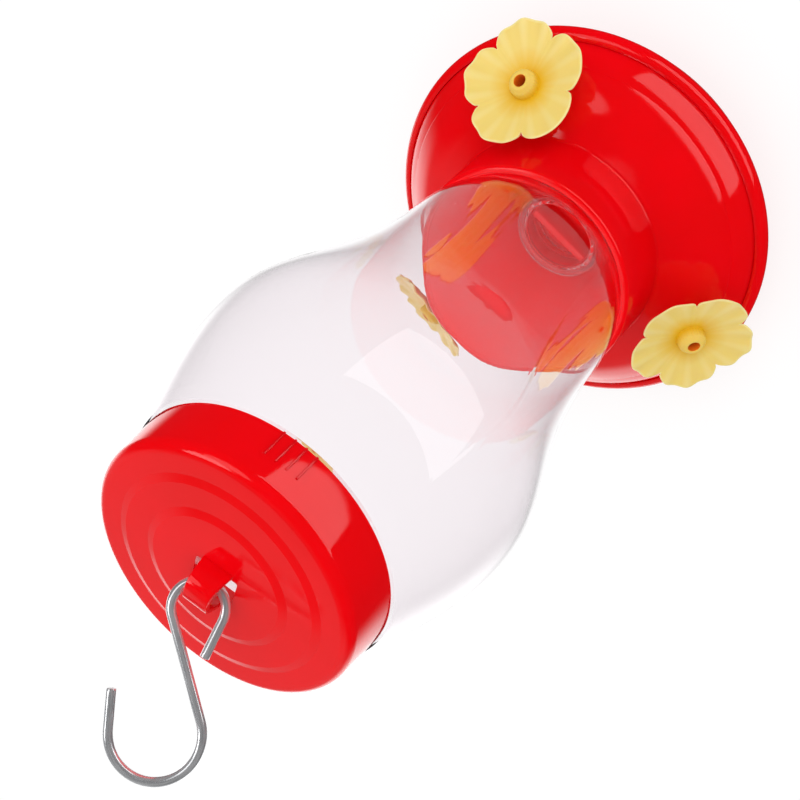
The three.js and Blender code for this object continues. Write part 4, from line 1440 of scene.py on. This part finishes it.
class DRINKER_OT_stage(Operator):
    """Lay the floor, set the light and place the camera"""

    bl_idname = "drinker.stage"
    bl_label = "Stage"

    def execute(self, context):
        size = settings().stage
        scene = context.scene
        self.floor(size)
        self.card(size)
        self.sky(scene, size)
        for name, place, width, target in LAMPS:
            self.lamp(name + "_lamp", place, width, getattr(size, name), target)
        camera = bpy.data.cameras.new("camera")
        camera.lens = size.lens
        camera.sensor_width = SENSOR_WIDTH
        camera.clip_start = NEAREST_SEEN
        placed = held("camera", camera)
        placed.matrix_world = Matrix.Translation(CAMERA_PLACE) @ CAMERA_TURN.to_matrix().to_4x4()
        scene.camera = placed
        scene.view_settings.view_transform = "Standard"
        cycles = scene.cycles
        cycles.max_bounces = cycles.glossy_bounces = cycles.transmission_bounces = CLEAR_BOUNCES
        return {"FINISHED"}

    def floor(self, size):
        """A pale floor that shows the object's shadow and no reflection."""
        work = bmesh.new()
        bmesh.ops.create_circle(
            work, cap_ends=True, segments=FLOOR_SIDES, radius=size.floor_radius,
        )
        mesh = worked_mesh("floor", work)
        material = bpy.data.materials.new("pale_floor")
        tree = bare_tree(material)
        path = add_node(tree, "ShaderNodeLightPath").outputs
        seen = arithmetic(tree, "ADD", path["Is Camera Ray"], path["Is Transmission Ray"])
        bounced = arithmetic(tree, "MULTIPLY", path["Is Diffuse Ray"], FLOOR_BOUNCED)
        level = arithmetic(tree, "MULTIPLY_ADD", seen, FLOOR_SEEN, bounced)
        lit = put(tree, "ShaderNodeAddShader", {
            0: put(tree, "ShaderNodeBsdfDiffuse", {"Color": FLOOR_COLOUR}),
            1: put(tree, "ShaderNodeEmission", {"Strength": level}),
        })
        self.by_gloss(tree, lit, put(tree, "ShaderNodeBsdfTransparent", {}))
        mesh.materials.append(material)
        return held("floor", mesh)

    def gloss(self, tree):
        """1 for a ray that some gloss has turned, 0 for any other."""
        path = add_node(tree, "ShaderNodeLightPath").outputs
        turned_ray = arithmetic(tree, "MINIMUM", path["Glossy Depth"], 1.0)
        not_diffuse = arithmetic(tree, "SUBTRACT", 1.0, path["Is Diffuse Ray"])
        return arithmetic(tree, "MULTIPLY", turned_ray, not_diffuse)

    def by_gloss(self, tree, plain, mirrored):
        """One shader for plain sight and another in reflections."""
        mix = put(tree, "ShaderNodeMixShader", {0: self.gloss(tree), 1: plain, 2: mirrored})
        fill(tree, add_node(tree, "ShaderNodeOutputMaterial"), {"Surface": mix})

    def card(self, size):
        """An upright card on the viewer's side, seen only in reflections."""
        corners = (
            (-CARD_FOOT, CARD_LOW), (CARD_FOOT, CARD_LOW),
            (CARD_HEAD, CARD_HIGH), (-CARD_HEAD, CARD_HIGH),
        )
        mesh = bpy.data.meshes.new("card")
        mesh.from_pydata([(CARD_AWAY, *corner) for corner in corners], [], [(0, 1, 2, 3)])
        mesh.transform(Matrix.Rotation(CARD_TURN, 4, "Z"))
        material = bpy.data.materials.new("bright_card")
        tree = bare_tree(material)
        glow = put(tree, "ShaderNodeEmission", {"Strength": size.card})
        self.by_gloss(tree, put(tree, "ShaderNodeBsdfTransparent", {}), glow)
        mesh.materials.append(material)
        card = held("card", mesh)
        card.visible_camera = card.visible_diffuse = False
        card.visible_transmission = card.visible_shadow = False
        return card

    def sky(self, scene, size):
        """Even white light, a white background and the room that gloss mirrors."""
        world = bpy.data.worlds.new("studio")
        tree = bare_tree(world)
        world.cycles.sampling_method = "NONE"
        path = add_node(tree, "ShaderNodeLightPath").outputs
        place = put(tree, "ShaderNodeTexCoord", {}, "Generated")
        parts = fill(tree, add_node(tree, "ShaderNodeSeparateXYZ"), {0: place}).outputs
        around = arithmetic(tree, "ARCTAN2", parts["Y"], parts["X"])
        above = arithmetic(tree, "ARCSINE", parts["Z"])

        def window(source, degrees, to_low, to_high):
            low, high = map(math.radians, degrees)
            return ramp(tree, source, low, high, to_low, to_high, "SMOOTHSTEP")

        def near(direction, degrees, level):
            toward = put(
                tree, "ShaderNodeVectorMath", {0: place, 1: direction}, "Value",
                operation="DOT_PRODUCT",
            )
            high, low = (math.cos(math.radians(angle)) for angle in degrees)
            return ramp(tree, toward, low, high, 0.0, level, "SMOOTHSTEP")

        far_side = arithmetic(
            tree, "MULTIPLY", window(around, FAR_START, 0.0, 1.0),
            window(around, FAR_END, 1.0, 0.0),
        )
        room = arithmetic(
            tree, "ADD", window(above, CEILING, size.room, size.room / 4),
            window(above, BACKDROP_TOP, size.backdrop, 0.0),
        )
        room = arithmetic(tree, "MULTIPLY", room, window(above, GROUND, 0.0, 1.0))
        room = arithmetic(tree, "MULTIPLY", room, far_side)
        ahead = near(CAMERA_TURN.to_matrix() @ Vector((0, 0, -1)), AHEAD_EDGE, 1.0)
        room = arithmetic(tree, "MAXIMUM", room, ahead)
        lights = arithmetic(tree, "ADD", near(SOFTBOX, SOFTBOX_EDGE, size.softbox), DIM_ROOM)
        lights = arithmetic(tree, "MAXIMUM", lights, near(SIDE_LIGHT, SIDE_EDGE, size.side))
        seen = arithmetic(tree, "MAXIMUM", path["Is Camera Ray"], path["Is Transmission Ray"])
        through = ramp(tree, path["Is Transmission Ray"], 0.0, 1.0, 1.0, CLEAR_SHARE)
        level = put(tree, "ShaderNodeMix", {
            0: arithmetic(tree, "MULTIPLY", self.gloss(tree), through),
            2: ramp(tree, seen, 0.0, 1.0, size.fill, 1.0),
            3: arithmetic(tree, "ADD", room, lights),
        }, data_type="FLOAT")
        light = put(tree, "ShaderNodeBackground", {"Color": WHITE, "Strength": level})
        fill(tree, add_node(tree, "ShaderNodeOutputWorld"), {"Surface": light})
        scene.world = world

    def lamp(self, name, place, width, level, target):
        """A square lamp that faces a target; level is its brightness."""
        data = bpy.data.lights.new(name, "AREA")
        data.shape = "SQUARE"
        data.size = width
        data.energy = level * math.pi * width * width
        lamp = held(name, data)
        lamp.location = place
        lamp.rotation_euler = (Vector(target) - Vector(place)).to_track_quat("-Z", "Y").to_euler()
        lamp.visible_camera = lamp.visible_glossy = lamp.visible_transmission = False


class DRINKER_PT_sidebar(Panel):
    """Lists the pieces and the sizes of the drinker"""

    bl_idname = "DRINKER_PT_sidebar"
    bl_label = "Hanging Bird Drinker"
    bl_space_type = "VIEW_3D"
    bl_region_type = "UI"
    bl_category = "Drinker"

    def draw(self, context):
        column = self.layout.column(align=True)
        for operator in OPERATORS:
            column.operator(operator.bl_idname)
        for group in DrinkerSettings.__annotations__:
            box = self.layout.box()
            box.label(text=group.capitalize())
            held_settings = getattr(context.scene.drinker, group)
            for name in held_settings.__annotations__:
                box.prop(held_settings, name)


OPERATORS = (
    DRINKER_OT_dish, DRINKER_OT_cover, DRINKER_OT_seal, DRINKER_OT_bottle, DRINKER_OT_cap,
    DRINKER_OT_hook, DRINKER_OT_flowers, DRINKER_OT_stage,
)
CLASSES = (
    DishSizes, CoverSizes, BottleSizes, CapSizes, HookSizes, FlowerSizes, Finishes, StageSettings,
    DrinkerSettings, *OPERATORS, DRINKER_PT_sidebar,
)


def register():
    for made in CLASSES:
        bpy.utils.register_class(made)
    bpy.types.Scene.drinker = PointerProperty(
        type=DrinkerSettings, name="Drinker", description="Sizes and colours of the drinker",
    )


def unregister():
    del bpy.types.Scene.drinker
    for made in reversed(CLASSES):
        bpy.utils.unregister_class(made)


def main():
    register()
    bpy.ops.drinker.dish()
    bpy.ops.drinker.cover()
    bpy.ops.drinker.seal()
    bpy.ops.drinker.bottle()
    bpy.ops.drinker.cap()
    bpy.ops.drinker.hook()
    bpy.ops.drinker.flowers()
    bpy.ops.drinker.stage()


if __name__ == "__main__":
    main()
